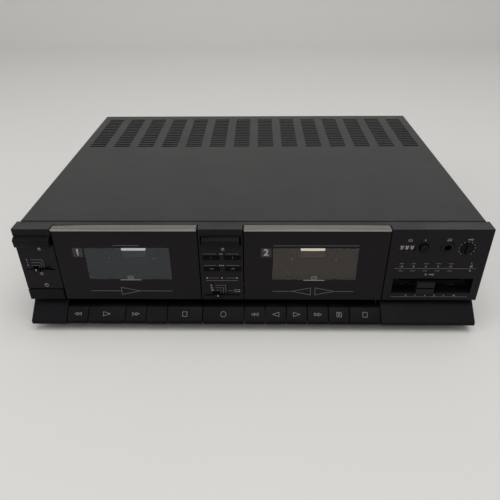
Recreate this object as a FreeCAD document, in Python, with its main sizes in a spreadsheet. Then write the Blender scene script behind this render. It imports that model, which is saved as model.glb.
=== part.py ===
"""A double cassette deck, built piece by piece at its real size, in millimetres.

The deck stands on its feet at z = 0 and faces -Y, with +X to the right and its box centred on X and Y.
Most pieces are measured from one datum: x from the middle, the depth behind the front face, and the
drop below the front's top edge. A formula is text that uses the words of the sheet of sizes.
"""
import FreeCAD
import Part
import Sketcher
import math
import os
import re

doc = FreeCAD.newDocument("cassette_deck")

# Driving sizes, in millimetres and degrees.
SIZES = {
    # The case
    "foot_height": 9,
    "foot_radius": 15,
    "foot_taper": 1.5,
    "foot_inset_side": 48,
    "foot_inset_front": 36,
    "foot_inset_rear": 30,
    "case_depth": 326,
    "cover_inset": 2.5,
    "steel": 1.0,
    "overrun": 1,
    "cover_bend": 2.5,
    "case_play": 0.3,
    "rear_inset": 3,
    "side_flange": 12,
    "flange_grip": 1.7,
    "vent_groups": 14,
    "vent_side_gap": 10.95,
    "vent_length": 19.4,
    "vent_width": 4.0,
    "vent_rows": 17,
    "vent_row_pitch": 6.45,
    "vent_rear_gap": 14.8,
    # The front moulding
    "wall": 2.5,
    "rail": 2.0,
    "lip_depth": 14.5,
    "tongue": 6,
    "tongue_root": 2,
    "face_below_cassette": 11,
    "left_block": 34.7,
    "door_width": 132.5,
    "door_gap": 1.0,
    "centre_block": 40.5,
    "right_block": 90.8,
    "guide_depth": 9,
    "guide_plate": 2,
    "slide_play": 0.2,
    # The doors and what hangs on them
    "door_skin": 2.8,
    "door_depth": 7.5,
    "door_side": 2.0,
    "door_clearance": 1.0,
    "door_cap": 1.6,
    "door_cap_reach": 1.0,
    "pivot_depth": 11,
    "pivot_rise": 5.5,
    "pivot_radius": 1.5,
    "pivot_lug": 3,
    "pivot_end_play": 0.3,
    "running_play": 0.05,
    "window_width": 79.2,
    "window_height": 35.3,
    "window_drop": 20,
    "window_flange": 2.5,
    "window_rebate": 1.0,
    "window_set": 0.2,
    "pane_play": 0.1,
    # The cassette and its holder
    "cassette_width": 100.4,
    "cassette_thickness": 12,
    "cassette_play": 0.4,
    "cassette_depth": 8.5,
    "hub_drop": 38.5,
    "hub_pitch": 42.5,
    "hub_to_edge": 29.5,
    "capstan_spacing": 46,
    "capstan_below_hub": 19.5,
    "holder_sheet": 1.2,
    "holder_lip": 4.8,
    "holder_ledge": 12,
    "holder_flange": 8,
    "holder_flange_gap": 4.45,
    "holder_top_drop": 12,
    # The tape mechanism
    "well_clearance": 1.9,
    "well_inset": 4.25,
    "well_wall": 2.0,
    "well_liner": 3,
    "well_top_drop": 4,
    "well_foot": 2.5,
    "bearing_wall": 2.5,
    "plate_spacing": 12,
    "rear_plate_top_drop": 8,
    "rear_plate_below": 7,
    "lamp_width": 25,
    "lamp_height": 14,
    "lamp_above_hub": 7,
    "reel_table_radius": 14,
    "reel_table_thickness": 2,
    "spindle_radius": 3.2,
    "spindle_reach": 12.5,
    "spindle_fin": 1.5,
    "spindle_shaft_radius": 1.5,
    "spindle_tip": 1.5,
    "spindle_hole_play": 0.6,
    "fin_front": 13.5,
    "fin_end": 19,
    "table_gap": 1,
    "capstan_radius": 1.2,
    "capstan_reach": 9.6,
    "flywheel_gap": 4,
    "flywheel_thickness": 6,
    "belt_thickness": 1.0,
    "belt_width": 3,
    "belt_seat": 0.05,
    "pinch_radius": 5.5,
    "pinch_width": 8,
    "pinch_pin_radius": 1.0,
    "pinch_clearance": 0.1,
    "carriage_travel": 6,
    "carriage_half_width": 30,
    "carriage_sheet": 1.5,
    "carriage_height": 8,
    "carriage_stud_radius": 2,
    "carriage_stud_spacing": 44,
    "head_width": 13,
    "head_depth": 11,
    "head_height": 6,
    "motor_radius": 15,
    "motor_length": 24,
    "motor_drop": 27,
    "motor_standoff": 14,
    "motor_stud_radius": 2,
    "motor_stud_circle": 12,
    "motor_shaft_radius": 1.0,
    "pulley_radius": 4,
    "pulley_flange": 1.4,
    "pulley_rim": 1.0,
    # The row of keys
    "key_reach": 12.3,
    "key_band": 22,
    "key_row_below": 4.5,
    "key_top_below": 9.2,
    "key_front_below": 18.4,
    "key_lip_below": 21.7,
    "key_gap": 0.6,
    "key_small": 20.7,
    "key_play_a": 36.8,
    "key_stop_a": 35,
    "key_record": 41,
    "key_stop_b": 30.1,
    "key_back_depth": 6,
    "key_edge": 0.6,
    "lever_width": 7,
    "lever_height": 5,
    "lever_boss": 3.5,
    "shaft_radius": 1.5,
    "shaft_depth": 24,
    "shaft_below": 14,
    "bed_depth": 30,
    "bed_thickness": 1.5,
    "cheek": 2,
    # Eject and power keys
    "eject_top_drop": 7.3,
    "eject_height": 10.1,
    "eject_reach": 4.6,
    "eject_rake": 0.7,
    "eject_back": 4,
    "eject_gap": 3,
    "eject_gap_left": 1.3,
    "eject_bevel": 2.5,
    "eject_pocket": 8,
    "stem_width": 8,
    "stem_height": 4,
    "stem_depth": 14,
    "power_top_drop": 67,
    "power_reach": 0.8,
    "power_gap": 0.8,
    # Small controls of the middle block
    "button_width": 15.3,
    "button_height": 4.4,
    "button_reach": 0.6,
    "button_back": 5,
    "button_travel": 1.5,
    "button_inset": 3.3,
    "button_end": 1.9,
    "upper_buttons_drop": 28.3,
    "lower_buttons_drop": 41,
    "button_stem": 3,
    "slot_height": 1.6,
    "slot_inset": 3.2,
    "timer_slot_drop": 43.2,
    "reverse_slot_drop": 72.8,
    "finger_dish": 1.2,
    "dish_height": 3.2,
    "timer_dish_start": 10.5,
    "timer_dish_width": 17.5,
    "reverse_dish_start": 10.3,
    "reverse_dish_width": 15,
    "switch_width": 6.6,
    "switch_height": 3.4,
    "switch_reach": 3,
    "timer_knob_start": 11,
    "reverse_knob_start": 12.4,
    # Controls of the right block
    "counter_start": 8.8,
    "counter_width": 14.5,
    "counter_height": 5.8,
    "counter_drop": 19.9,
    "drum_radius": 7,
    "drum_width": 4.5,
    "drum_pitch": 4.75,
    "drum_depth": 9,
    "axle_radius": 1.0,
    "cheek_plate": 1.2,
    "reset_start": 30.8,
    "reset_drop": 19.5,
    "reset_radius": 4,
    "reset_hole": 4.8,
    "reset_reach": 3.2,
    "jack_start": 52.3,
    "jack_ring": 6.5,
    "jack_bore": 3.2,
    "jack_bore_depth": 24,
    "jack_body": 26,
    "jack_body_half": 7.5,
    "volume_start": 69.8,
    "volume_drop": 20,
    "volume_radius": 5.4,
    "volume_hole": 5.8,
    "volume_seat": 5,
    "volume_grip_length": 10.2,
    "volume_grip_width": 2.2,
    "volume_grip_reach": 2.4,
    "volume_shaft": 3,
    "volume_shaft_end": 14,
    "level_start": 7.8,
    "level_end": 7.5,
    "level_top_drop": 53.5,
    "level_bottom_drop": 70.5,
    "level_depth": 8,
    "tray_wall": 2,
    "slider_start": 30.8,
    "slider_width": 16.5,
    "slider_height": 5.2,
    "slider_reach": 2.5,
    "slider_upper_drop": 60,
    "slider_lower_drop": 66.9,
    "slider_stem_width": 4,
    "slider_slot": 2.4,
    "slider_stem_end": 16,
    "slider_back": 6,
    "slider_run_left": 21,
    "slider_run_right": 34,
    # Inside and behind
    "post_radius": 3,
    "post_height": 10,
    "board_thickness": 1.6,
    "board_side_gap": 13.7,
    "board_transformer_gap": 25,
    "board_start": 90,
    "board_end": 300,
    "board_inset": 8,
    "transformer_side_gap": 24.7,
    "transformer_width": 64,
    "transformer_back": 40,
    "transformer_depth": 54,
    "transformer_height": 52,
    "coil_margin": 10,
    "coil_bulge": 9,
    "socket_plate_width": 46,
    "socket_plate_height": 36,
    "socket_plate_thickness": 2,
    "socket_from_side": 76.7,
    "socket_drop": 52,
    "socket_pitch": 16,
    "socket_row_pitch": 16,
    "socket_reach": 5,
    "socket_radius": 4.15,
    "socket_bore": 1.6,
    "socket_block": 14,
    "inlet_from_side": 60.7,
    "inlet_width": 26,
    "inlet_height": 18,
    "inlet_drop": 60,
    "inlet_flange": 1.5,
    "inlet_depth": 16,
    "inlet_mouth_width": 16.4,
    "inlet_mouth_height": 8.6,
    "inlet_mouth_depth": 12,
    "inlet_pin_radius": 1.2,
    "inlet_pin_pitch": 8.6,
}

# Sizes that are sums of others. The case is as wide as the blocks and doors side by side in its front.
# The face is as high as a hanging cassette needs, and the case adds the band of keys below it.
SUMS = {
    "width": "left_block + 2 * (door_width + 2 * door_gap) + centre_block + right_block",
    "face_height": "hub_drop + hub_to_edge + face_below_cassette",
    "body_height": "face_height + key_band",
    "pivot_drop": "face_height - pivot_rise",
    "well_bottom_drop": "face_height - well_foot",
    "rear_plate_bottom_drop": "face_height + rear_plate_below",
    "holder_back": "cassette_depth + cassette_thickness + cassette_play + holder_sheet",
    "well_depth": "holder_back + well_clearance",
    "well_front": "well_depth - well_liner",
    "rear_plate_depth": "well_depth + plate_spacing",
    "key_row_drop": "face_height + key_row_below",
    "key_top_drop": "face_height + key_top_below",
    "key_front_drop": "face_height + key_front_below",
    "key_lip_drop": "face_height + key_lip_below",
    "shaft_drop": "face_height + shaft_below",
    "button_pitch": "centre_block - button_inset - button_width - button_end",
}

WORDS = {**SIZES, **SUMS}

sheet = doc.addObject("Spreadsheet::Sheet", "sizes")
for row, (word, value) in enumerate(WORDS.items(), 1):
    sheet.set(f"A{row}", word)
    sheet.set(f"B{row}", f"={value}")
    sheet.setAlias(f"B{row}", word)
doc.recompute()

# Places that several pieces share, as formulas.
FACE = "((key_reach - case_depth - socket_reach) / 2)"
TOP = "(foot_height + body_height)"
LEFT = "(-width / 2)"
LEFT_END = f"({LEFT} + left_block)"
DOOR_A = f"({LEFT_END} + door_gap)"
CENTRE = f"({DOOR_A} + door_width + door_gap)"
CENTRE_END = f"({CENTRE} + centre_block)"
DOOR_B = f"({CENTRE_END} + door_gap)"
RIGHT = f"({DOOR_B} + door_width + door_gap)"
RIGHT_END = "(width / 2)"
CHASSIS_HALF = "(width / 2 - cover_inset - steel - case_play)"
BEND_INSIDE = "(cover_bend - steel)"
TRANSFORMER_RIGHT = f"({CHASSIS_HALF} - transformer_side_gap)"
TRANSFORMER_LEFT = f"({TRANSFORMER_RIGHT} - transformer_width)"
BOARD_LEFT = f"(-{CHASSIS_HALF} + board_side_gap)"
BOARD_RIGHT = f"({TRANSFORMER_LEFT} - board_transformer_gap)"
REAR = "(case_depth - rear_inset)"
FLOOR_DROP = "(body_height - steel)"
CASSETTE_BOTTOM = "(hub_drop + hub_to_edge)"
CAPSTAN_DROP = "(hub_drop + capstan_below_hub)"
FLYWHEEL_DEPTH = "(rear_plate_depth + bearing_wall + flywheel_gap)"
FLYWHEEL_RADIUS = "((capstan_spacing - belt_thickness - 4 * belt_seat) / 2)"
PINCH_DROP = f"({CAPSTAN_DROP} + capstan_radius + pinch_radius + pinch_clearance + carriage_travel)"
GUIDE_END = "(guide_depth + guide_plate)"
DECKS = {"a": DOOR_A, "b": DOOR_B}
ALONG = {
    "x": FreeCAD.Rotation(FreeCAD.Vector(0, 1, 0), 90),
    "y": FreeCAD.Rotation(FreeCAD.Vector(1, 0, 0), -90),
    "z": FreeCAD.Rotation(),
}
PIECES = []


def formula(text):
    """Points the words of a formula at the sheet of sizes."""
    return re.sub(r"[A-Za-z_]\w*", lambda word: f"sizes.{word[0]}" if word[0] in WORDS else word[0],
                  str(text))


def size(word):
    """The number that the sheet holds for a word."""
    return float(sheet.get(word))


def deck_middle(deck):
    """The formula of the middle of a deck's door."""
    return f"({DECKS[deck]} + door_width / 2)"


def place(thing, x, depth, drop):
    """Ties a thing's origin to the datum."""
    thing.setExpression("Placement.Base.x", formula(x))
    thing.setExpression("Placement.Base.y", formula(f"{FACE} + {depth}"))
    thing.setExpression("Placement.Base.z", formula(f"{TOP} - ({drop})"))
    return thing


def box(name, x, depth, drop):
    """A block between two planes each way: left and right, front and back, upper and lower."""
    block = doc.addObject("Part::Box", name)
    block.setExpression("Length", formula(f"{x[1]} - ({x[0]})"))
    block.setExpression("Width", formula(f"{depth[1]} - ({depth[0]})"))
    block.setExpression("Height", formula(f"{drop[1]} - ({drop[0]})"))
    return place(block, x[0], depth[0], drop[1])


def around(middle, half):
    """Two planes at the same distance each side of a middle."""
    return (f"{middle} - ({half})", f"{middle} + ({half})")


def reach(start, length):
    """Two planes: a start and what lies a length beyond it."""
    return (start, f"{start} + ({length})")


def rod(name, along, radius, length, x, depth, drop):
    """A round bar from its start point along +X, +Y or +Z."""
    bar = doc.addObject("Part::Cylinder", name)
    bar.Placement = FreeCAD.Placement(FreeCAD.Vector(), ALONG[along])
    bar.setExpression("Radius", formula(radius))
    bar.setExpression("Height", formula(length))
    return place(bar, x, depth, drop)


def join(name, things):
    """Things that are one moulding, or one group of like pieces."""
    whole = doc.addObject("Part::MultiFuse", name)
    whole.Shapes = things
    whole.Refine = True
    return whole


def cut(name, base, tools):
    """The base with the tools taken out of it."""
    whole = doc.addObject("Part::Cut", name)
    whole.Base = base
    whole.Tool = tools[0] if len(tools) == 1 else join(f"{name}_cuts", tools)
    whole.Refine = True
    return whole


def piece(thing, name):
    """Names a finished sub-part, which is written to its own file."""
    thing.Label = name
    PIECES.append(thing)
    return thing


def body(name, x, depth=0, drop=0):
    """An empty body whose origin is tied to the datum."""
    return place(doc.addObject("PartDesign::Body", name), x, depth, drop)


def outline(owner, name, role, points, offset=None):
    """A closed sketch on one of the body's own planes, each corner tied to two formulas."""
    drawing = owner.newObject("Sketcher::SketchObject", name)
    plane = next(feature for feature in owner.Origin.OriginFeatures if feature.Role == role)
    drawing.AttachmentSupport = [(plane, "")]
    drawing.MapMode = "FlatFace"
    if offset:
        drawing.setExpression("AttachmentOffset.Base.z", formula(offset))
    turns = [2 * math.pi * number / len(points) for number in range(len(points))]
    guesses = [FreeCAD.Vector(math.cos(turn), -math.sin(turn), 0) for turn in turns]
    for number, guess in enumerate(guesses):
        drawing.addGeometry(Part.LineSegment(guess, guesses[(number + 1) % len(guesses)]), False)
    for number in range(len(points)):
        following = (number + 1) % len(points)
        drawing.addConstraint(Sketcher.Constraint("Coincident", number, 2, following, 1))
    for number, corner in enumerate(points):
        for kind, text in zip(("DistanceX", "DistanceY"), corner):
            index = drawing.addConstraint(Sketcher.Constraint(kind, -1, 1, number, 1, 1.0))
            drawing.setExpression(f"Constraints[{index}]", formula(text))
    return drawing


def disc_sketch(owner, name, role, centre, radius, offset=None):
    """A circle on one of the body's own planes."""
    drawing = owner.newObject("Sketcher::SketchObject", name)
    plane = next(feature for feature in owner.Origin.OriginFeatures if feature.Role == role)
    drawing.AttachmentSupport = [(plane, "")]
    drawing.MapMode = "FlatFace"
    if offset:
        drawing.setExpression("AttachmentOffset.Base.z", formula(offset))
    drawing.addGeometry(Part.Circle(FreeCAD.Vector(1, 1, 0), FreeCAD.Vector(0, 0, 1), 1), False)
    index = drawing.addConstraint(Sketcher.Constraint("Radius", 0, 1.0))
    drawing.setExpression(f"Constraints[{index}]", formula(radius))
    for kind, text in zip(("DistanceX", "DistanceY"), centre):
        index = drawing.addConstraint(Sketcher.Constraint(kind, -1, 1, 0, 3, 1.0))
        drawing.setExpression(f"Constraints[{index}]", formula(text))
    return drawing


def pad(owner, name, drawing, length, midplane=False):
    """A sketch pushed out into solid."""
    feature = owner.newObject("PartDesign::Pad", name)
    feature.Profile = drawing
    feature.Midplane = midplane
    feature.setExpression("Length", formula(length))
    return feature


def pocket(owner, name, drawing, length, midplane=False):
    """A sketch pushed into the solid to cut it."""
    feature = owner.newObject("PartDesign::Pocket", name)
    feature.Profile = drawing
    feature.Midplane = midplane
    feature.setExpression("Length", formula(length))
    return feature


def turned(owner, name, drawing, axis):
    """A sketch turned round one of its own axes into solid."""
    feature = owner.newObject("PartDesign::Revolution", name)
    feature.Profile = drawing
    feature.ReferenceAxis = (drawing, [axis])
    feature.Angle = 360
    return feature


# The chassis: a folded steel tray with a rear wall and a front flange that the front moulding seats on.
KEY_ZONE = f"({LEFT_END} + door_gap / 2)"
KEY_ZONE_END = f"({KEY_ZONE} + 8 * key_small + key_play_a + key_stop_a + key_record + key_stop_b)"
FLANGE_DEPTH = "(lip_depth + case_play)"
tray = [
    box("chassis_floor", (f"-{CHASSIS_HALF}", CHASSIS_HALF), (FLANGE_DEPTH, REAR),
        (FLOOR_DROP, "body_height")),
    box("chassis_rear", (f"-{CHASSIS_HALF}", CHASSIS_HALF), (f"{REAR} - steel", REAR),
        (BEND_INSIDE, "body_height")),
    box("chassis_rear_top", (f"{BEND_INSIDE} - {CHASSIS_HALF}", f"{CHASSIS_HALF} - {BEND_INSIDE}"),
        (f"{REAR} - steel", REAR), ("case_play", "cover_bend")),
    box("chassis_front", (f"-{CHASSIS_HALF}", CHASSIS_HALF), reach(FLANGE_DEPTH, "steel"),
        ("face_height - flange_grip", "body_height")),
]
for side, start in (("left", f"-{CHASSIS_HALF}"), ("right", f"{CHASSIS_HALF} - steel")):
    tray.append(box(f"chassis_{side}", reach(start, "steel"), (FLANGE_DEPTH, REAR),
                    ("body_height - side_flange", "body_height")))
for number in range(6):
    across = f"{BOARD_LEFT} + board_inset" if number % 3 == 0 else f"{BOARD_RIGHT} - board_inset"
    across = f"({BOARD_LEFT} + {BOARD_RIGHT}) / 2" if number % 3 == 1 else across
    along = "board_start + board_inset" if number < 3 else "board_end - board_inset"
    tray.append(rod(f"board_post_{number}", "z", "post_radius", "post_height", across, along, FLOOR_DROP))
SOCKET_X = f"(-{CHASSIS_HALF} + socket_from_side)"
INLET_X = f"({CHASSIS_HALF} - inlet_from_side)"
piece(cut("chassis", join("chassis_tray", tray), [
    box("lever_window", (KEY_ZONE, KEY_ZONE_END), reach("lip_depth", "3 * steel"),
        ("key_top_drop + case_play", FLOOR_DROP)),
    box("socket_hole", around(SOCKET_X, "socket_pitch"),
        (f"{REAR} - 3 * steel", f"{REAR} + steel"), around("socket_drop", "socket_row_pitch")),
    box("inlet_hole", (f"{INLET_X} - inlet_mouth_width / 2 - case_play - steel",
                       f"{INLET_X} + inlet_mouth_width / 2 + case_play + steel"),
        (f"{REAR} - 3 * steel", f"{REAR} + steel"),
        ("inlet_drop - inlet_mouth_height / 2 - case_play - steel",
         "inlet_drop + inlet_mouth_height / 2 + case_play + steel")),
]), "chassis")

# The feet: four moulded cones that taper to the floor.
feet = []
for side in (-1, 1):
    for end, depth in (("front", "foot_inset_front"), ("rear", f"{REAR} - foot_inset_rear")):
        foot = doc.addObject("Part::Cone", f"foot_{end}_{'left' if side < 0 else 'right'}")
        foot.setExpression("Radius1", formula("foot_radius - foot_taper"))
        foot.setExpression("Radius2", formula("foot_radius"))
        foot.setExpression("Height", formula("foot_height"))
        feet.append(place(foot, f"{side} * (width / 2 - foot_inset_side)", depth,
                          "(foot_height + body_height)"))
piece(join("feet", feet), "feet")


def punched_cover():
    """The cover's sheet: a bent U with rounded top corners and rows of punched slots at the back."""
    half = size("width") / 2 - size("cover_inset")
    steel = size("steel")
    bend = size("cover_bend")
    length = size("case_depth") - size("lip_depth")
    height = size("body_height") - size("case_play")
    slot_length, slot_width = size("vent_length"), size("vent_width")
    groups, rows = int(size("vent_groups")), int(size("vent_rows"))
    pitch = (2 * (half - size("vent_side_gap")) - slot_length) / (groups - 1)
    row_pitch = size("vent_row_pitch")
    first_row = length - size("vent_rear_gap") - slot_width - (rows - 1) * row_pitch
    flat = Part.makePlane(2 * (half - bend), length, FreeCAD.Vector(bend - half, 0, steel)).Wires[0]
    slots = []
    for group in range(groups):
        for row in range(rows):
            corner = FreeCAD.Vector((group - (groups - 1) / 2) * pitch - slot_length / 2,
                                    first_row + row * row_pitch, steel)
            slots.append(Part.makePlane(slot_length, slot_width, corner).Wires[0])
    punched = Part.makeFace([flat] + slots, "Part::FaceMakerBullseye").extrude(FreeCAD.Vector(0, 0, -steel))
    sheets = [punched]
    for side in (-1, 1):
        edge = FreeCAD.Vector(side * (half - bend), 0, steel - bend)
        outer = Part.Arc(edge + FreeCAD.Vector(0, 0, bend),
                         edge + FreeCAD.Vector(side * bend, 0, bend) * math.sqrt(0.5),
                         edge + FreeCAD.Vector(side * bend, 0, 0)).toShape()
        inside = bend - steel
        inner = Part.Arc(edge + FreeCAD.Vector(side * inside, 0, 0),
                         edge + FreeCAD.Vector(side * inside, 0, inside) * math.sqrt(0.5),
                         edge + FreeCAD.Vector(0, 0, inside)).toShape()
        low = FreeCAD.Vector(0, 0, bend - steel - height)
        outer_foot = Part.LineSegment(outer.Vertexes[1].Point, outer.Vertexes[1].Point + low).toShape()
        foot = Part.LineSegment(outer.Vertexes[1].Point + low, inner.Vertexes[0].Point + low).toShape()
        inner_foot = Part.LineSegment(inner.Vertexes[0].Point + low, inner.Vertexes[0].Point).toShape()
        close = Part.LineSegment(inner.Vertexes[1].Point, outer.Vertexes[0].Point).toShape()
        wire = Part.Wire([outer, outer_foot, foot, inner_foot, inner, close])
        sheets.append(Part.Face(wire).extrude(FreeCAD.Vector(0, length, 0)))
    return sheets[0].fuse(sheets[1:]).removeSplitter().Solids[0]


# The cover: painted sheet steel over the top and both sides, punched with vent slots.
cover = doc.addObject("Part::Feature", "top_cover")
cover.Shape = punched_cover()
place(cover, "0", "lip_depth", "0")
piece(cover, "top_cover")

# The front moulding: left, middle and right blocks on one frame, with an opening for each door.
BUTTONS = {
    "upper_left_button": (0, "upper_buttons_drop"),
    "upper_right_button": (1, "upper_buttons_drop"),
    "lower_left_button": (0, "lower_buttons_drop"),
    "lower_right_button": (1, "lower_buttons_drop"),
}
EJECT_MIDDLE = "(eject_top_drop + eject_height / 2)"
POWER_MIDDLE = "((power_top_drop + face_height) / 2)"
EJECT_KEYS = {
    "a": (f"({LEFT} + slide_play)", f"({LEFT_END} - eject_gap_left)"),
    "b": (f"({CENTRE} + eject_gap)", f"({CENTRE_END} - eject_gap)"),
}
COUNTER = f"({RIGHT} + counter_start)"
RESET = f"({RIGHT} + reset_start)"
JACK = f"({RIGHT} + jack_start)"
VOLUME = f"({RIGHT} + volume_start)"
LEVEL = f"({RIGHT} + level_start)"
LEVEL_END = f"({RIGHT_END} - level_end)"
CHEEK_GAP = "(drum_pitch - drum_width + slide_play)"
SLIDER_X = f"({RIGHT} + slider_start + slider_width / 2)"
SLIDERS = {"upper": "slider_upper_drop", "lower": "slider_lower_drop"}
blocks = {"left": (LEFT, LEFT_END), "centre": (CENTRE, CENTRE_END), "right": (RIGHT, RIGHT_END)}
front_block = box("front_block", (LEFT, RIGHT_END), ("0", "lip_depth"), ("0", "face_height"))
hollows = []
for name, (start, end) in blocks.items():
    hollows.append(box(f"hollow_{name}", (f"{start} + wall", f"{end} - wall"),
                       ("wall", "lip_depth + tongue + overrun"), ("wall", "face_height - wall")))
for deck, start in DECKS.items():
    bay = (f"{start} - door_gap", f"{start} + door_width + door_gap")
    hollows.append(box(f"door_bay_{deck}", bay, ("-tongue", "door_depth + door_clearance"),
                       ("-rail", "face_height + rail")))
    hollows.append(box(f"well_bay_{deck}", bay, ("door_depth", "lip_depth + tongue + overrun"),
                       ("rail", "face_height - rail")))
ribs = [cut("front_moulding", front_block, hollows)]
ribs.append(box("cover_tongue", (f"{BEND_INSIDE} - {CHASSIS_HALF}", f"{CHASSIS_HALF} - {BEND_INSIDE}"),
                ("lip_depth - tongue_root", "lip_depth + tongue"), ("case_play", "rail")))
for side, start, edge in (("left", f"-{CHASSIS_HALF}", f"{LEFT} + wall / 2"),
                          ("right", f"{CHASSIS_HALF} - wall", f"{RIGHT_END} - wall / 2")):
    low = "face_height - flange_grip - case_play"
    ribs.append(box(f"side_tongue_{side}", reach(start, "wall"),
                    ("lip_depth - tongue_root", "lip_depth + tongue"), (BEND_INSIDE, low)))
    across = (edge, f"{start} + wall") if side == "left" else (start, edge)
    ribs.append(box(f"tongue_root_{side}", across, ("lip_depth - tongue_root", "lip_depth"),
                    ("wall / 2", low)))
for name in ("left", "centre"):
    start, end = blocks[name]
    ribs.append(box(f"guide_{name}", (f"{start} + wall / 2", f"{end} - wall / 2"),
                    ("guide_depth", GUIDE_END), ("wall / 2", "face_height - wall / 2")))
for end, start in enumerate((f"({COUNTER} - {CHEEK_GAP} - cheek_plate)",
                             f"({COUNTER} + counter_width + {CHEEK_GAP})")):
    ribs.append(box(f"counter_cheek_{end}", reach(start, "cheek_plate"),
                    ("wall / 2", "drum_depth + 2 * axle_radius"), around("counter_drop", "2 * wall")))
ribs.append(rod("counter_axle", "x", "axle_radius", f"counter_width + 2 * {CHEEK_GAP} + cheek_plate",
                f"{COUNTER} - {CHEEK_GAP} - cheek_plate / 2", "drum_depth", "counter_drop"))
ribs.append(rod("reset_tube", "y", "reset_radius + rail", "guide_depth - wall / 2", RESET, "wall / 2",
                "reset_drop"))
ribs.append(rod("volume_cup", "y", "volume_hole + wall / 2", "volume_seat + wall / 2", VOLUME, "wall / 2",
                "volume_drop"))
ribs.append(box("level_tray", (f"{LEVEL} - tray_wall", f"{LEVEL_END} + tray_wall"),
                ("wall / 2", "level_depth + tray_wall"),
                ("level_top_drop - tray_wall", "level_bottom_drop + tray_wall")))
openings = [
    box("eject_opening_a", (f"{LEFT} - wall", f"{LEFT_END} + wall"), ("-wall", "eject_pocket"),
        ("eject_top_drop - case_play", "eject_top_drop + eject_height + case_play")),
    box("eject_opening_b", (f"{CENTRE} + door_cap", f"{CENTRE_END} - door_cap"), ("-wall", "eject_pocket"),
        ("eject_top_drop - case_play", "eject_top_drop + eject_height + case_play")),
    box("power_opening", (f"{LEFT} - wall", f"{LEFT_END} + wall"), ("-wall", "eject_pocket"),
        ("power_top_drop - power_gap", "face_height + wall")),
    box("timer_slot", (f"{LEFT} + slot_inset", f"{LEFT_END} - slot_inset"), ("-wall", "2 * wall"),
        reach("timer_slot_drop", "slot_height")),
    box("timer_dish", (f"{LEFT} + timer_dish_start", f"{LEFT} + timer_dish_start + timer_dish_width"),
        ("-wall", "finger_dish"), ("timer_slot_drop - dish_height", "timer_slot_drop + slot_height")),
    box("reverse_slot", (f"{CENTRE} + slot_inset", f"{CENTRE_END} - slot_inset"), ("-wall", "2 * wall"),
        reach("reverse_slot_drop", "slot_height")),
    box("reverse_dish", (f"{CENTRE} + reverse_dish_start",
                         f"{CENTRE} + reverse_dish_start + reverse_dish_width"), ("-wall", "finger_dish"),
        ("reverse_slot_drop - dish_height", "reverse_slot_drop + slot_height")),
    box("counter_window", reach(COUNTER, "counter_width"), ("-wall", "2 * wall"),
        around("counter_drop", "counter_height / 2")),
    rod("reset_mouth", "y", "reset_hole", "2 * wall", RESET, "-wall", "reset_drop"),
    rod("reset_bore", "y", "reset_radius + running_play", "2 * guide_depth", RESET, "-wall", "reset_drop"),
    rod("jack_hole", "y", "jack_ring", "3 * wall", JACK, "-wall", "reset_drop"),
    rod("volume_mouth", "y", "volume_hole", "volume_seat + wall", VOLUME, "-wall", "volume_drop"),
    rod("volume_bore", "y", "volume_shaft + running_play", "2 * lip_depth", VOLUME, "-wall", "volume_drop"),
    box("level_mouth", (LEVEL, LEVEL_END), ("-wall", "level_depth"),
        ("level_top_drop", "level_bottom_drop")),
]
for name, drop in SLIDERS.items():
    run = (f"{SLIDER_X} - slider_stem_width / 2 - slide_play - slider_run_left",
           f"{SLIDER_X} + slider_stem_width / 2 + slide_play + slider_run_right")
    openings.append(box(f"level_slot_{name}", run, ("wall", "level_depth + 2 * tray_wall"),
                        around(drop, "slider_slot / 2")))
for deck, (start, end) in EJECT_KEYS.items():
    middle = f"(({start} + {end}) / 2)"
    openings.append(box(f"eject_guide_{deck}",
                        (f"{middle} - stem_width / 2 - slide_play",
                         f"{middle} + stem_width / 2 + slide_play"), ("wall", "lip_depth"),
                        (f"{EJECT_MIDDLE} - stem_height / 2 - slide_play",
                         f"{EJECT_MIDDLE} + stem_height / 2 + slide_play")))
POWER_X = f"({LEFT} + left_block / 2)"
openings.append(box("power_guide", (f"{POWER_X} - stem_width / 2 - slide_play",
                                    f"{POWER_X} + stem_width / 2 + slide_play"), ("wall", "lip_depth"),
                    (f"{POWER_MIDDLE} - stem_height / 2 - slide_play",
                     f"{POWER_MIDDLE} + stem_height / 2 + slide_play")))
for name, (column, drop) in BUTTONS.items():
    start = f"({CENTRE} + button_inset + {column} * button_pitch)"
    middle = f"({start} + button_width / 2)"
    openings.append(box(f"{name}_opening", reach(start, "button_width"),
                        ("-wall", "button_back + button_travel + slide_play"),
                        reach(drop, "button_height")))
    openings.append(box(f"{name}_guide", (f"{middle} - button_stem / 2 - slide_play",
                                          f"{middle} + button_stem / 2 + slide_play"),
                        ("wall", "lip_depth"),
                        (f"{drop} + button_height / 2 - button_stem / 2 - slide_play",
                         f"{drop} + button_height / 2 + button_stem / 2 + slide_play")))
for deck, start in DECKS.items():
    for side, across in (("left", f"{start} - door_gap - wall - overrun"),
                         ("right", f"{start} + door_width - overrun")):
        openings.append(rod(f"pivot_bore_{deck}_{side}", "x", "pivot_radius + running_play",
                            "door_gap + wall + 2 * overrun", across, "pivot_depth", "pivot_drop"))
piece(cut("front_panel", join("front_ribbed", ribs), openings), "front_panel")

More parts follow.
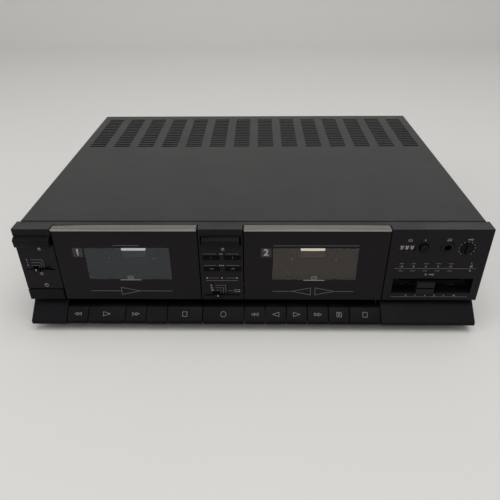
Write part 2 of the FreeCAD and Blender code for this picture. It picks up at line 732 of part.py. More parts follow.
# The doors: a skin with an opening, a ledge on top that the finger finds, and lugs with pins at the bottom.
for deck, start in DECKS.items():
    door = body(f"door_{deck}", start)
    profile = outline(door, f"door_{deck}_profile", "YZ_Plane", [
        ("-door_cap_reach", "0"), ("door_depth", "0"), ("door_depth", "-pivot_drop - pivot_radius"),
        ("door_depth - rail", "-face_height"), ("0", "-face_height"), ("0", "-door_cap"),
        ("-door_cap_reach", "-door_cap")])
    pad(door, f"door_{deck}_block", profile, "door_width")
    inside = outline(door, f"door_{deck}_inside", "XZ_Plane", [
        ("door_side", "-door_cap"), ("door_width - door_side", "-door_cap"),
        ("door_width - door_side", "-face_height + rail"), ("door_side", "-face_height + rail")],
        "-door_skin - door_depth")
    hollow = pocket(door, f"door_{deck}_hollow", inside, "door_depth")
    hollow.Reversed = True
    opening = outline(door, f"door_{deck}_opening", "XZ_Plane", [
        (f"door_width / 2 + {across} * window_width / 2", f"-window_drop - {down} * window_height")
        for across, down in ((-1, 0), (1, 0), (1, 1), (-1, 1))])
    pocket(door, f"door_{deck}_window", opening, "3 * door_skin", True)
    for side, across in (("left", "0"), ("right", "door_width - door_side")):
        lug = outline(door, f"door_{deck}_{side}_lug", "YZ_Plane", [
            ("door_skin", "-pivot_drop + pivot_lug"),
            ("pivot_depth + pivot_radius", "-pivot_drop + pivot_lug"),
            ("pivot_depth + pivot_lug", "-pivot_drop + pivot_radius"),
            ("pivot_depth + pivot_lug", "-pivot_drop - pivot_radius"),
            ("pivot_depth + pivot_radius", "-pivot_drop - pivot_lug"),
            ("door_skin", "-pivot_drop - pivot_radius")], across)
        pad(door, f"door_{deck}_{side}_arm", lug, "door_side")
        pin_start = "-door_gap - wall + pivot_end_play" if side == "left" else "door_width - door_side / 2"
        pin = disc_sketch(door, f"door_{deck}_{side}_pin_circle", "YZ_Plane",
                          ("pivot_depth", "-pivot_drop"), "pivot_radius", pin_start)
        pad(door, f"door_{deck}_{side}_pin", pin, "door_gap + wall - pivot_end_play + door_side / 2")
    piece(door, f"door_{deck}")

# The windows: a clear pane that fills the opening, with a thin flange behind the skin.
for deck in DECKS:
    window = body(f"window_{deck}", deck_middle(deck))
    for part, grow, depth, thickness in (("pane", "-pane_play", "-window_set", "door_skin - window_set"),
                                     ("flange", "window_flange", "-door_skin", "window_rebate")):
        drawing = outline(window, f"window_{deck}_{part}_outline", "XZ_Plane", [
            (f"{across} * (window_width / 2 + {grow})",
             f"-window_drop - window_height / 2 - {down} * (window_height / 2 + {grow})")
            for across, down in ((-1, -1), (1, -1), (1, 1), (-1, 1))], depth)
        pad(window, f"window_{deck}_{part}", drawing, thickness).Reversed = True
    piece(window, f"window_{deck}")

# The cassette holders: folded sheet behind each door, a channel each side, a bar across and a ledge below.
HOLDER_HALF = "(cassette_width / 2 + cassette_play + holder_sheet)"
HOLDER_REACH = "(door_width / 2 - door_side - holder_flange_gap)"
HOLDER_LOW = f"({CASSETTE_BOTTOM} + holder_sheet)"
for deck in DECKS:
    middle = deck_middle(deck)
    sheets = [box(f"holder_{deck}_bar", around(middle, f"{HOLDER_HALF}"),
                  reach("door_skin", "holder_sheet"), (f"{CASSETTE_BOTTOM} - holder_flange", HOLDER_LOW))]
    for side in (-1, 1):
        word = "left" if side < 0 else "right"

        def span(inner, outer):
            """The two x planes of a sheet on this side of the holder."""
            near, far = f"{middle} + {side} * ({inner})", f"{middle} + {side} * ({outer})"
            return (far, near) if side < 0 else (near, far)

        sheets.append(box(f"holder_{deck}_flange_{word}",
                          span(f"{HOLDER_HALF} - holder_sheet", HOLDER_REACH),
                          reach("door_skin", "holder_sheet"), ("holder_top_drop", HOLDER_LOW)))
        sheets.append(box(f"holder_{deck}_channel_{word}",
                          span(f"{HOLDER_HALF} - holder_sheet", HOLDER_HALF), ("door_skin", "holder_back"),
                          ("holder_top_drop", HOLDER_LOW)))
        sheets.append(box(f"holder_{deck}_lip_{word}",
                          span(f"{HOLDER_HALF} - holder_sheet - holder_lip", HOLDER_HALF),
                          ("holder_back - holder_sheet", "holder_back"), ("holder_top_drop", HOLDER_LOW)))
        sheets.append(box(f"holder_{deck}_ledge_{word}",
                          span(f"{HOLDER_HALF} - holder_sheet - holder_ledge", HOLDER_HALF),
                          ("door_skin", "holder_back"), (CASSETTE_BOTTOM, HOLDER_LOW)))
    piece(join(f"cassette_holder_{deck}", sheets), f"cassette_holder_{deck}")

# The tape mechanism's moulding: liners, a bearing wall in each well, one plate behind both, and legs.
WELL_HALF = "(door_width / 2 - well_inset)"
WALL_BACK = "(well_depth + bearing_wall)"
PLATE_BACK = "(rear_plate_depth + bearing_wall)"
MOTOR_X = f"(({CENTRE} + {CENTRE_END}) / 2)"
STUD_DROP = f"({CASSETTE_BOTTOM} + carriage_height / 2)"
CAPSTANS = {"a_right": ("a", 1), "b_left": ("b", -1), "b_right": ("b", 1)}
frame = [box("rear_plate", (f"{deck_middle('a')} - {WELL_HALF}",
                            f"{deck_middle('b')} + {WELL_HALF}"), ("rear_plate_depth", PLATE_BACK),
             ("rear_plate_top_drop", "rear_plate_bottom_drop"))]
bores = []
for deck in DECKS:
    middle = deck_middle(deck)
    both = around(middle, WELL_HALF)
    frame.append(box(f"bearing_wall_{deck}", both, ("well_depth", WALL_BACK),
                     ("well_top_drop", "well_bottom_drop")))
    frame.append(box(f"well_roof_{deck}", both, ("well_front", WALL_BACK),
                     reach("well_top_drop", "well_wall")))
    for side, edge in (("left", f"{middle} - {WELL_HALF}"),
                       ("right", f"{middle} + {WELL_HALF} - well_wall")):
        across = reach(edge, "well_wall")
        frame.append(box(f"well_side_{deck}_{side}", across, ("well_front", WALL_BACK),
                         ("well_top_drop", "well_bottom_drop")))
        frame.append(box(f"spacer_{deck}_{side}", across, ("well_depth", PLATE_BACK),
                         ("rear_plate_top_drop", "well_bottom_drop")))
        frame.append(box(f"leg_{deck}_{side}", (f"{edge} - 2 * well_wall", f"{edge} + 3 * well_wall"),
                         ("rear_plate_depth", PLATE_BACK), ("rear_plate_bottom_drop - wall", FLOOR_DROP)))
        frame.append(box(f"leg_foot_{deck}_{side}", (f"{edge} - 2 * well_wall", f"{edge} + 3 * well_wall"),
                         ("rear_plate_depth - wall", f"{PLATE_BACK} + post_height"),
                         (f"{FLOOR_DROP} - bearing_wall", FLOOR_DROP)))
    for side in (-1, 1):
        hub = f"{middle} + {side} * hub_pitch / 2"
        stud = f"{middle} + {side} * carriage_stud_spacing / 2"
        bores.append(rod(f"spindle_hole_{deck}_{side + 1}", "y",
                         "spindle_radius + spindle_fin + spindle_hole_play", "3 * bearing_wall", hub,
                         "well_depth - bearing_wall", "hub_drop"))
        bores.append(rod(f"spindle_bearing_{deck}_{side + 1}", "y", "spindle_shaft_radius + running_play",
                         "3 * bearing_wall", hub, "rear_plate_depth - bearing_wall", "hub_drop"))
        bores.append(box(f"stud_slot_{deck}_{side + 1}",
                         (f"{stud} - carriage_stud_radius - slide_play",
                          f"{stud} + carriage_stud_radius + slide_play"),
                         ("well_depth - bearing_wall", f"{WALL_BACK} + bearing_wall"),
                         (f"{STUD_DROP} - carriage_travel - carriage_stud_radius - slide_play",
                          f"{STUD_DROP} + carriage_stud_radius + slide_play")))
    bores.append(box(f"lamp_hole_{deck}", around(middle, "lamp_width / 2"),
                     ("well_depth - bearing_wall", f"{WALL_BACK} + bearing_wall"),
                     ("hub_drop - lamp_above_hub", "hub_drop - lamp_above_hub + lamp_height")))
for number in range(3):
    turn = 90 + 120 * number
    frame.append(rod(f"motor_stud_{number}", "y", "motor_stud_radius", "motor_standoff + wall",
                     f"{MOTOR_X} + motor_stud_circle * cos({turn})", f"{PLATE_BACK} - wall",
                     f"motor_drop - motor_stud_circle * sin({turn})"))
for name, (deck, side) in CAPSTANS.items():
    bores.append(rod(f"capstan_bore_{name}", "y", "capstan_radius + running_play",
                     f"{PLATE_BACK} - well_depth + 4 * bearing_wall",
                     f"{deck_middle(deck)} + {side} * capstan_spacing / 2", "well_depth - 2 * bearing_wall",
                     CAPSTAN_DROP))
piece(cut("mechanism_frame", join("mechanism_moulding", frame), bores), "mechanism_frame")

# The reel spindles: a table, a tube with three fins and a tip, and a shaft that runs in the rear plate.
TABLE = f"({WALL_BACK} + table_gap)"
for deck in DECKS:
    for side, word in ((-1, "left"), (1, "right")):
        name = f"spindle_{deck}_{word}"
        spindle = body(name, f"{deck_middle(deck)} + {side} * hub_pitch / 2", 0, "hub_drop")
        half = outline(spindle, f"{name}_half", "XY_Plane", [
            ("0", "spindle_reach"), ("spindle_radius / 3", "spindle_reach"),
            ("spindle_radius", "spindle_reach + spindle_tip"),
            ("spindle_radius", TABLE), ("reel_table_radius", TABLE),
            ("reel_table_radius", f"{TABLE} + reel_table_thickness"),
            ("spindle_shaft_radius", f"{TABLE} + reel_table_thickness"),
            ("spindle_shaft_radius", PLATE_BACK), ("0", PLATE_BACK)])
        turned(spindle, f"{name}_turned", half, "V_Axis")
        fin = outline(spindle, f"{name}_fin_outline", "XY_Plane", [
            ("0", "fin_front + spindle_fin"), ("spindle_radius", "fin_front"),
            ("spindle_radius + spindle_fin", "fin_front + spindle_fin"),
            ("spindle_radius + spindle_fin", "fin_end"), ("0", "fin_end")])
        blade = pad(spindle, f"{name}_fin", fin, "spindle_fin", True)
        round_pattern = spindle.newObject("PartDesign::PolarPattern", f"{name}_fins")
        round_pattern.Originals = [blade]
        round_pattern.Axis = (fin, ["V_Axis"])
        round_pattern.Angle = 360
        round_pattern.Occurrences = 3
        spindle.Tip = round_pattern
        piece(spindle, name)

# The head carriages: a plate with two studs, a shelf with the tape head on it, and pins for the rollers.
for deck in DECKS:
    middle = deck_middle(deck)
    plate_back = "(well_depth - case_play)"
    plate_front = f"({plate_back} - carriage_sheet)"
    shelf = f"({CASSETTE_BOTTOM} + head_height + wall / 5)"
    carriage = [
        box(f"carriage_{deck}_plate", around(middle, "carriage_half_width"),
            (plate_front, plate_back), reach(CASSETTE_BOTTOM, "carriage_height")),
        box(f"carriage_{deck}_shelf", around(middle, "3 * head_width / 4"),
            ("guide_depth", plate_back), (shelf, f"{CASSETTE_BOTTOM} + carriage_height")),
        box(f"carriage_{deck}_head", around(middle, "head_width / 2"),
            reach("guide_depth", "head_depth"),
            (f"{shelf} - head_height", f"{shelf} + carriage_sheet / 2")),
    ]
    for side in (-1, 1):
        if (deck, side) != ("a", -1):
            carriage.append(rod(f"carriage_{deck}_pin_{side + 1}", "y", "pinch_pin_radius",
                                f"{plate_back} - capstan_reach", f"{middle} + {side} * capstan_spacing / 2",
                                "capstan_reach", PINCH_DROP))
        carriage.append(rod(f"carriage_{deck}_stud_{side + 1}", "y", "carriage_stud_radius",
                            f"{WALL_BACK} + wall / 2 - {plate_front}",
                            f"{middle} + {side} * carriage_stud_spacing / 2", plate_front, STUD_DROP))
    piece(join(f"head_carriage_{deck}", carriage), f"head_carriage_{deck}")

# The pinch rollers: rubber tyres on a bore, which turn on the carriage's pins.
for name, (deck, side) in CAPSTANS.items():
    full = f"pinch_roller_{'a' if deck == 'a' else name}"
    roller = body(full, f"{deck_middle(deck)} + {side} * capstan_spacing / 2", 0, PINCH_DROP)
    front = "(capstan_reach + wall / 3)"
    half = outline(roller, f"{full}_half", "XY_Plane", [
        ("pinch_pin_radius + running_play", front), ("pinch_radius", front),
        ("pinch_radius", f"{front} + pinch_width"),
        ("pinch_pin_radius + running_play", f"{front} + pinch_width")])
    turned(roller, f"{full}_turned", half, "V_Axis")
    piece(roller, full)

# The flywheels: a heavy disc with the capstan through it.
for name, (deck, side) in CAPSTANS.items():
    full = f"flywheel_{'a' if deck == 'a' else name}"
    wheel = body(full, f"{deck_middle(deck)} + {side} * capstan_spacing / 2", 0, CAPSTAN_DROP)
    half = outline(wheel, f"{full}_half", "XY_Plane", [
        ("0", "capstan_reach"), ("capstan_radius", "capstan_reach"),
        ("capstan_radius", f"{FLYWHEEL_DEPTH} - wall"),
        ("spindle_radius", f"{FLYWHEEL_DEPTH} - wall"), ("spindle_radius", FLYWHEEL_DEPTH),
        (FLYWHEEL_RADIUS, FLYWHEEL_DEPTH),
        (FLYWHEEL_RADIUS, f"{FLYWHEEL_DEPTH} + flywheel_thickness"),
        ("0", f"{FLYWHEEL_DEPTH} + flywheel_thickness")])
    turned(wheel, f"{full}_turned", half, "V_Axis")
    piece(wheel, full)

# The motor: a can on three studs, with a bore that its shaft runs in.
MOTOR_FRONT = f"({PLATE_BACK} + motor_standoff)"
motor = body("motor", MOTOR_X, 0, "motor_drop")
half = outline(motor, "motor_half", "XY_Plane", [
    ("motor_shaft_radius + running_play", MOTOR_FRONT), ("motor_radius", MOTOR_FRONT),
    ("motor_radius", f"{MOTOR_FRONT} + motor_length"), ("0", f"{MOTOR_FRONT} + motor_length"),
    ("0", f"{MOTOR_FRONT} + motor_length / 4"),
    ("motor_shaft_radius + running_play", f"{MOTOR_FRONT} + motor_length / 4")])
turned(motor, "motor_turned", half, "V_Axis")
piece(motor, "motor")

# The motor pulley: two flanges round the belt's seat, on the motor's shaft.
BELT_FRONT = f"({FLYWHEEL_DEPTH} + (flywheel_thickness - belt_width) / 2)"
pulley = body("motor_pulley", MOTOR_X, 0, "motor_drop")
half = outline(pulley, "motor_pulley_half", "XY_Plane", [
    ("0", f"{BELT_FRONT} - pulley_rim"), ("pulley_radius + pulley_flange", f"{BELT_FRONT} - pulley_rim"),
    ("pulley_radius + pulley_flange", f"{BELT_FRONT} - slide_play"),
    ("pulley_radius", f"{BELT_FRONT} - slide_play"),
    ("pulley_radius", f"{BELT_FRONT} + belt_width + slide_play"),
    ("pulley_radius + pulley_flange", f"{BELT_FRONT} + belt_width + slide_play"),
    ("pulley_radius + pulley_flange", f"{BELT_FRONT} + belt_width + pulley_rim"),
    ("motor_shaft_radius", f"{BELT_FRONT} + belt_width + pulley_rim"),
    ("motor_shaft_radius", f"{MOTOR_FRONT} + motor_length / 5"),
    ("0", f"{MOTOR_FRONT} + motor_length / 5")])
turned(pulley, "motor_pulley_turned", half, "V_Axis")
piece(pulley, "motor_pulley")


def loop_face(circles):
    """The flat face inside a tight loop round circles, which are listed in clockwise order."""
    edges = []
    joins = []
    for number, (x, z, radius) in enumerate(circles):
        x2, z2, radius2 = circles[(number + 1) % len(circles)]
        away = math.hypot(x2 - x, z2 - z)
        along = FreeCAD.Vector((x2 - x) / away, 0, (z2 - z) / away)
        across = FreeCAD.Vector(-along.z, 0, along.x)
        slope = (radius - radius2) / away
        normal = along * slope + across * math.sqrt(1 - slope * slope)
        joins.append((FreeCAD.Vector(x, 0, z) + normal * radius,
                      FreeCAD.Vector(x2, 0, z2) + normal * radius2, normal))
    for number, (x, z, radius) in enumerate(circles):
        before, after = joins[number - 1], joins[number]
        middle = (before[2] + after[2]).normalize()
        turn = math.atan2(before[2].cross(after[2]).y, before[2].dot(after[2])) % (2 * math.pi)
        middle = middle if turn < math.pi else -middle
        edges.append(Part.Arc(before[1], FreeCAD.Vector(x, 0, z) + middle * radius, after[0]).toShape())
        edges.append(Part.LineSegment(after[0], after[1]).toShape())
    return Part.Face(Part.Wire(edges))


# The drive belt: a flat rubber loop round two flywheels and the motor pulley.
# Its back drives the third flywheel.
seat = size("belt_seat")
reel = (size("capstan_spacing") - size("belt_thickness")) / 2 - 2 * seat
hub_line = size("hub_drop") + size("capstan_below_hub")
left_end = -size("width") / 2 + size("left_block")
first = left_end + size("door_gap") + size("door_width") / 2
second = first + size("door_width") + 2 * size("door_gap") + size("centre_block")
third = (first + second) / 2
places = [
    (first + size("capstan_spacing") / 2, -hub_line, reel),
    (third, -size("motor_drop"), size("pulley_radius")),
    (second - size("capstan_spacing") / 2, -hub_line, reel),
]
inner_loop = loop_face([(x, z, radius + seat) for x, z, radius in places])
outer_loop = loop_face([(x, z, radius + seat + size("belt_thickness")) for x, z, radius in places])
belt = doc.addObject("Part::Feature", "drive_belt")
belt.Shape = outer_loop.cut(inner_loop).Faces[0].extrude(FreeCAD.Vector(0, size("belt_width"), 0))
place(belt, "0", BELT_FRONT, "0")
piece(belt, "drive_belt")

# The main board on the chassis posts.
piece(box("main_board", (BOARD_LEFT, BOARD_RIGHT), ("board_start", "board_end"),
          (f"{FLOOR_DROP} - post_height - board_thickness", f"{FLOOR_DROP} - post_height")), "main_board")

# The mains transformer: a stack of iron with the coil bulging at front and back.
core_back = f"({REAR} - transformer_back)"
piece(join("transformer", [
    box("transformer_core", (TRANSFORMER_LEFT, TRANSFORMER_RIGHT),
        (f"{core_back} - transformer_depth + coil_bulge", f"{core_back} - coil_bulge"),
        (f"{FLOOR_DROP} - transformer_height", FLOOR_DROP)),
    box("transformer_coil", (f"{TRANSFORMER_LEFT} + coil_margin", f"{TRANSFORMER_RIGHT} - coil_margin"),
        (f"{core_back} - transformer_depth", core_back),
        (f"{FLOOR_DROP} - transformer_height + coil_margin", f"{FLOOR_DROP} - coil_margin")),
]), "transformer")

# The rear sockets: a plate on the rear wall with two pairs of phono jacks.
jacks = [
    box("socket_plate", around(SOCKET_X, "socket_plate_width / 2"),
        reach(REAR, "socket_plate_thickness"),
        around("socket_drop", "socket_plate_height / 2")),
    box("socket_block", (f"{SOCKET_X} - socket_pitch + case_play",
                         f"{SOCKET_X} + socket_pitch - case_play"),
        (f"{REAR} - socket_block", f"{REAR} + steel"),
        ("socket_drop - socket_row_pitch + case_play", "socket_drop + socket_row_pitch - case_play")),
]
jack_bores = []
for column in (-1, 1):
    for row in (-1, 1):
        across = f"{SOCKET_X} + {column} * socket_pitch / 2"
        drop = f"socket_drop + {row} * socket_row_pitch / 2"
        jacks.append(rod(f"jack_barrel_{column + 1}_{row + 1}", "y", "socket_radius",
                         f"case_depth + socket_reach - {REAR}", across, REAR, drop))
        jack_bores.append(rod(f"jack_bore_{column + 1}_{row + 1}", "y", "socket_bore",
                              f"case_depth + socket_reach - {REAR} + socket_block + 2 * steel", across,
                              f"{REAR} - socket_block - steel", drop))
piece(cut("rear_sockets", join("socket_moulding", jacks), jack_bores), "rear_sockets")

# The mains inlet: a flanged cup with two pins, for a plug-in lead.
inlet_body = cut("inlet_moulding", join("inlet_solid", [
    box("inlet_flange_block", around(INLET_X, "inlet_width / 2"), reach(REAR, "inlet_flange"),
        around("inlet_drop", "inlet_height / 2")),
    box("inlet_cup", (f"{INLET_X} - inlet_mouth_width / 2 - steel",
                      f"{INLET_X} + inlet_mouth_width / 2 + steel"),
        (f"{REAR} - inlet_depth", f"{REAR} + steel"),
        ("inlet_drop - inlet_mouth_height / 2 - steel", "inlet_drop + inlet_mouth_height / 2 + steel")),
]), [box("inlet_mouth", around(INLET_X, "inlet_mouth_width / 2"),
         (f"{REAR} + inlet_flange - inlet_mouth_depth", f"{REAR} + 2 * inlet_flange"),
         around("inlet_drop", "inlet_mouth_height / 2"))])
pins = [inlet_body]
for side in (-1, 1):
    pins.append(rod(f"inlet_pin_{side + 1}", "y", "inlet_pin_radius", "inlet_mouth_depth - inlet_flange",
                    f"{INLET_X} + {side} * inlet_pin_pitch / 2",
                    f"{REAR} + inlet_flange / 2 - inlet_mouth_depth", "inlet_drop"))
piece(join("mains_inlet", pins), "mains_inlet")

# The row of keys, each with its width.
KEYS = [
    ("rewind_a", "key_small"), ("play_a", "key_play_a"), ("forward_a", "key_small"),
    ("blank_key", "key_small"),
    ("stop_a", "key_stop_a"), ("record_key", "key_record"), ("rewind_b", "key_small"),
    ("reverse_play_b", "key_small"),
    ("play_b", "key_small"), ("forward_b", "key_small"), ("pause_b", "key_small"),
    ("stop_b", "key_stop_b"),
]
CAP_PROFILE = [
    ("key_back_depth", "-key_top_drop"), ("-key_edge", "-key_top_drop"),
    ("-key_reach + key_edge", "-key_front_drop"),
    ("-key_reach + key_edge / 2", "-key_lip_drop"), ("-key_reach + key_edge + rail", "-key_lip_drop"),
    ("-key_reach + key_edge + rail", "-key_lip_drop + rail"), ("key_back_depth", "-key_lip_drop + rail"),
]
key_places = {}
edge = KEY_ZONE
for name, width in KEYS:
    after = f"({edge} + {width})"
    key_places[name] = (f"({edge} + key_gap / 2)", f"({after} - key_gap / 2)")
    edge = after

for name, (start, end) in key_places.items():
    if name == "blank_key":
        continue
    key = body(name, start)
    cap = outline(key, f"{name}_profile", "YZ_Plane", CAP_PROFILE)
    solid_cap = pad(key, f"{name}_cap", cap, f"{end} - {start}")
    lever_start = f"({end} - {start}) / 2 - lever_width / 2"
    lever = outline(key, f"{name}_lever_outline", "YZ_Plane", [
        ("0", "-shaft_drop + lever_height / 2"), ("shaft_depth", "-shaft_drop + lever_height / 2"),
        ("shaft_depth", "-shaft_drop - lever_height / 2"), ("0", "-shaft_drop - lever_height / 2")],
        lever_start)
    pad(key, f"{name}_lever", lever, "lever_width")
    boss = disc_sketch(key, f"{name}_boss_circle", "YZ_Plane", ("shaft_depth", "-shaft_drop"), "lever_boss",
                       lever_start)
    pad(key, f"{name}_boss", boss, "lever_width")
    hole = disc_sketch(key, f"{name}_hole_circle", "YZ_Plane", ("shaft_depth", "-shaft_drop"),
                       "shaft_radius + running_play", f"{lever_start} + lever_width / 2")
    pocket(key, f"{name}_hole", hole, "2 * lever_width", True)
    piece(key, name)

# The bed under the keys: a slab on the chassis floor, an end block each side, the fixed blank key,
# and cheeks that hold the shaft.
END_PROFILE = [
    ("key_back_depth - steel", "-key_row_drop"), ("-key_reach", "-key_front_drop"),
    ("-key_reach + key_edge / 2", "-body_height"),
    ("lip_depth", "-body_height"), ("lip_depth", "-key_row_drop"),
]
ends = {
    "left": (f"{LEFT} + key_edge", f"{KEY_ZONE} - key_gap / 2"),
    "right": (f"{KEY_ZONE_END} + key_gap / 2", f"{RIGHT_END} - key_edge"),
}
bed = [box("bed_slab", (KEY_ZONE, KEY_ZONE_END), ("door_depth + door_clearance", "bed_depth"),
           (f"{FLOOR_DROP} - bed_thickness", FLOOR_DROP))]
for side, (start, end) in ends.items():
    block = body(f"bed_end_{side}", start)
    drawing = outline(block, f"bed_end_{side}_profile", "YZ_Plane", END_PROFILE)
    pad(block, f"bed_end_{side}_pad", drawing, f"{end} - ({start})")
    bed.append(block)
    inner = around(end, "wall") if side == "left" else around(start, "wall")
    bed.append(box(f"bed_link_{side}", inner, ("door_depth + door_clearance", "lip_depth"),
                   (f"{FLOOR_DROP} - 2 * bed_thickness", FLOOR_DROP)))
start, end = key_places["blank_key"]
block = body("bed_blank", start)
drawing = outline(block, "bed_blank_profile", "YZ_Plane", CAP_PROFILE)
pad(block, "bed_blank_pad", drawing, f"{end} - {start}")
bed.append(block)
bed.append(box("bed_blank_web", (f"{start} + wall", f"{end} - wall"),
               ("key_back_depth - wall", "door_depth + door_clearance + wall"),
               (f"{FLOOR_DROP} - 3 * wall", FLOOR_DROP)))
cheeks = [KEY_ZONE, f"{key_places['blank_key'][0]}", f"{key_places['blank_key'][1]} - cheek",
          f"{key_places['record_key'][0]} - key_gap / 2 - cheek / 2",
          f"{key_places['record_key'][1]} + key_gap / 2 - cheek / 2",
          f"{KEY_ZONE_END} - cheek"]
shaft_bores = []
for number, start in enumerate(cheeks):
    bed.append(box(f"bed_cheek_{number}", reach(start, "cheek"), around("shaft_depth", "2 * cheek"),
                   ("shaft_drop - 2 * cheek", f"{FLOOR_DROP} - bed_thickness / 2")))
shaft_bores.append(rod("bed_shaft_bore", "x", "shaft_radius + running_play",
                       f"{KEY_ZONE_END} - {KEY_ZONE} + 2 * wall", f"{KEY_ZONE} - wall", "shaft_depth",
                       "shaft_drop"))
piece(cut("key_bed", join("bed_moulding", bed), shaft_bores), "key_bed")

# The shaft that all the keys turn on.
piece(rod("key_shaft", "x", "shaft_radius", f"{KEY_ZONE_END} - {KEY_ZONE}", KEY_ZONE, "shaft_depth",
          "shaft_drop"), "key_shaft")

# The eject keys: a wedge that a finger pushes in, on a guided stem.
for deck, (start, end) in EJECT_KEYS.items():
    name = f"eject_key_{deck}"
    key = body(name, start)
    wedge = outline(key, f"{name}_profile", "YZ_Plane", [
        ("eject_back", "-eject_top_drop"), ("-eject_rake", "-eject_top_drop"),
        ("-eject_reach", "-eject_top_drop - eject_bevel"),
        ("-eject_reach + eject_rake", "-eject_top_drop - eject_height"),
        ("eject_back", "-eject_top_drop - eject_height")])
    pad(key, f"{name}_cap", wedge, f"{end} - {start}")
    stem = outline(key, f"{name}_stem_outline", "YZ_Plane", [
        ("0", f"-{EJECT_MIDDLE} + stem_height / 2"), ("stem_depth", f"-{EJECT_MIDDLE} + stem_height / 2"),
        ("stem_depth", f"-{EJECT_MIDDLE} - stem_height / 2"), ("0", f"-{EJECT_MIDDLE} - stem_height / 2")],
        f"({end} - {start} - stem_width) / 2")
    pad(key, f"{name}_stem", stem, "stem_width")
    piece(key, name)

# The power key: it closes the foot of the left block and slides in on its stem.
piece(join("power_key", [
    box("power_cap", (f"{LEFT} + slide_play", f"{LEFT_END} - door_gap / 2"),
        ("-power_reach", "eject_back + steel"), ("power_top_drop", "face_height - slide_play")),
    box("power_stem", around(POWER_X, "stem_width / 2"), ("eject_back", "stem_depth"),
        around(POWER_MIDDLE, "stem_height / 2")),
]), "power_key")

# The four push buttons of the middle block.
for name, (column, drop) in BUTTONS.items():
    start = f"({CENTRE} + button_inset + {column} * button_pitch)"
    middle = f"({start} + button_width / 2)"
    piece(join(name, [
        box(f"{name}_cap", (f"{start} + slide_play", f"{start} + button_width - slide_play"),
            ("-button_reach", "button_back"),
            (f"{drop} + slide_play", f"{drop} + button_height - slide_play")),
        box(f"{name}_stem", around(middle, "button_stem / 2"), ("wall", "stem_depth"),
            (f"{drop} + button_height / 2 - button_stem / 2",
             f"{drop} + button_height / 2 + button_stem / 2")),
    ]), name)

# The slide switches: a grip, a neck through the slot and a plate behind the wall.
for name, block_start, knob_start, slot_drop in (
        ("timer_switch", LEFT, "timer_knob_start", "timer_slot_drop"),
        ("reverse_switch", CENTRE, "reverse_knob_start", "reverse_slot_drop")):
    start = f"({block_start} + {knob_start})"
    middle = f"({slot_drop} + slot_height / 2)"
    piece(join(name, [
        box(f"{name}_grip", reach(start, "switch_width"), ("-switch_reach", "-slide_play"),
            around(middle, "switch_height / 2")),
        box(f"{name}_neck", (f"{start} + wall / 2", f"{start} + switch_width - wall / 2"),
            ("-slide_play - steel", "wall + 2 * slide_play"),
            (f"{slot_drop} + slide_play", f"{slot_drop} + slot_height - slide_play")),
        box(f"{name}_plate", (f"{start} - wall / 2", f"{start} + switch_width + wall / 2"),
            ("wall + slide_play", "2 * wall"),
            (f"{middle} - switch_height", f"{middle} + switch_height / 2 + steel / 2")),
    ]), name)

# The level sliders: a cap in the tray on a stem through its back wall.
for name, drop in SLIDERS.items():
    full = f"level_slider_{name}"
    piece(join(full, [
        box(f"{full}_cap", around(SLIDER_X, "slider_width / 2"), ("-slider_reach", "slider_back"),
            around(drop, "slider_height / 2")),
        box(f"{full}_stem", around(SLIDER_X, "slider_stem_width / 2"), ("0", "slider_stem_end"),
            (f"{drop} - slider_slot / 2 + slide_play", f"{drop} + slider_slot / 2 - slide_play")),
    ]), full)

# The volume knob: a disc with an upright grip bar across it, on a shaft.
knob = body("volume_knob", VOLUME, 0, "volume_drop")
half = outline(knob, "volume_half", "XY_Plane", [
    ("0", "-slide_play"), ("volume_radius", "-slide_play"), ("volume_radius", "volume_seat - slide_play"),
    ("volume_shaft", "volume_seat - slide_play"), ("volume_shaft", "volume_shaft_end"),
    ("0", "volume_shaft_end")])
turned(knob, "volume_turned", half, "V_Axis")
bar = outline(knob, "volume_bar", "XZ_Plane", [
    ("-volume_grip_width / 2", "-volume_grip_length / 2"),
    ("volume_grip_width / 2", "-volume_grip_length / 2"),
    ("volume_grip_width / 2", "volume_grip_length / 2"),
    ("-volume_grip_width / 2", "volume_grip_length / 2")], "slide_play")
pad(knob, "volume_grip", bar, "volume_grip_reach")
piece(knob, "volume_knob")

# The counter: three drums side by side on one axle.
for number, name in enumerate(("counter_hundreds", "counter_tens", "counter_units")):
    start = f"({COUNTER} + (counter_width - 2 * drum_pitch - drum_width) / 2 + {number} * drum_pitch)"
    drum = body(name, start, "drum_depth", "counter_drop")
    half = outline(drum, f"{name}_half", "XY_Plane", [
        ("0", "axle_radius + running_play"), ("drum_width", "axle_radius + running_play"),
        ("drum_width", "drum_radius"),
        ("0", "drum_radius")])
    turned(drum, f"{name}_turned", half, "H_Axis")
    piece(drum, name)

# The counter's reset button: a cap that slides in its tube, with a collar behind.
button = body("counter_reset", RESET, 0, "reset_drop")
half = outline(button, "reset_half", "XY_Plane", [
    ("0", "-reset_reach"), ("reset_radius - key_edge", "-reset_reach"),
    ("reset_radius", "-reset_reach + key_edge"),
    ("reset_radius", "guide_depth + slide_play"), ("reset_radius + rail / 2", "guide_depth + slide_play"),
    ("reset_radius + rail / 2", f"{GUIDE_END}"), ("0", f"{GUIDE_END}")])
turned(button, "reset_turned", half, "V_Axis")
piece(button, "counter_reset")

# The headphone socket: a ring in the front, a square body behind it and one bore down the middle.
piece(cut("headphone_socket", join("jack_moulding", [
    rod("jack_nut", "y", "jack_ring - case_play", "2 * wall + case_play", JACK, "-case_play", "reset_drop"),
    box("jack_block", around(JACK, "jack_body_half"), ("wall", "jack_body"),
        around("reset_drop", "jack_body_half")),
]), [rod("jack_bore", "y", "jack_bore", "jack_bore_depth + steel", JACK, "-steel", "reset_drop")]),
"headphone_socket")

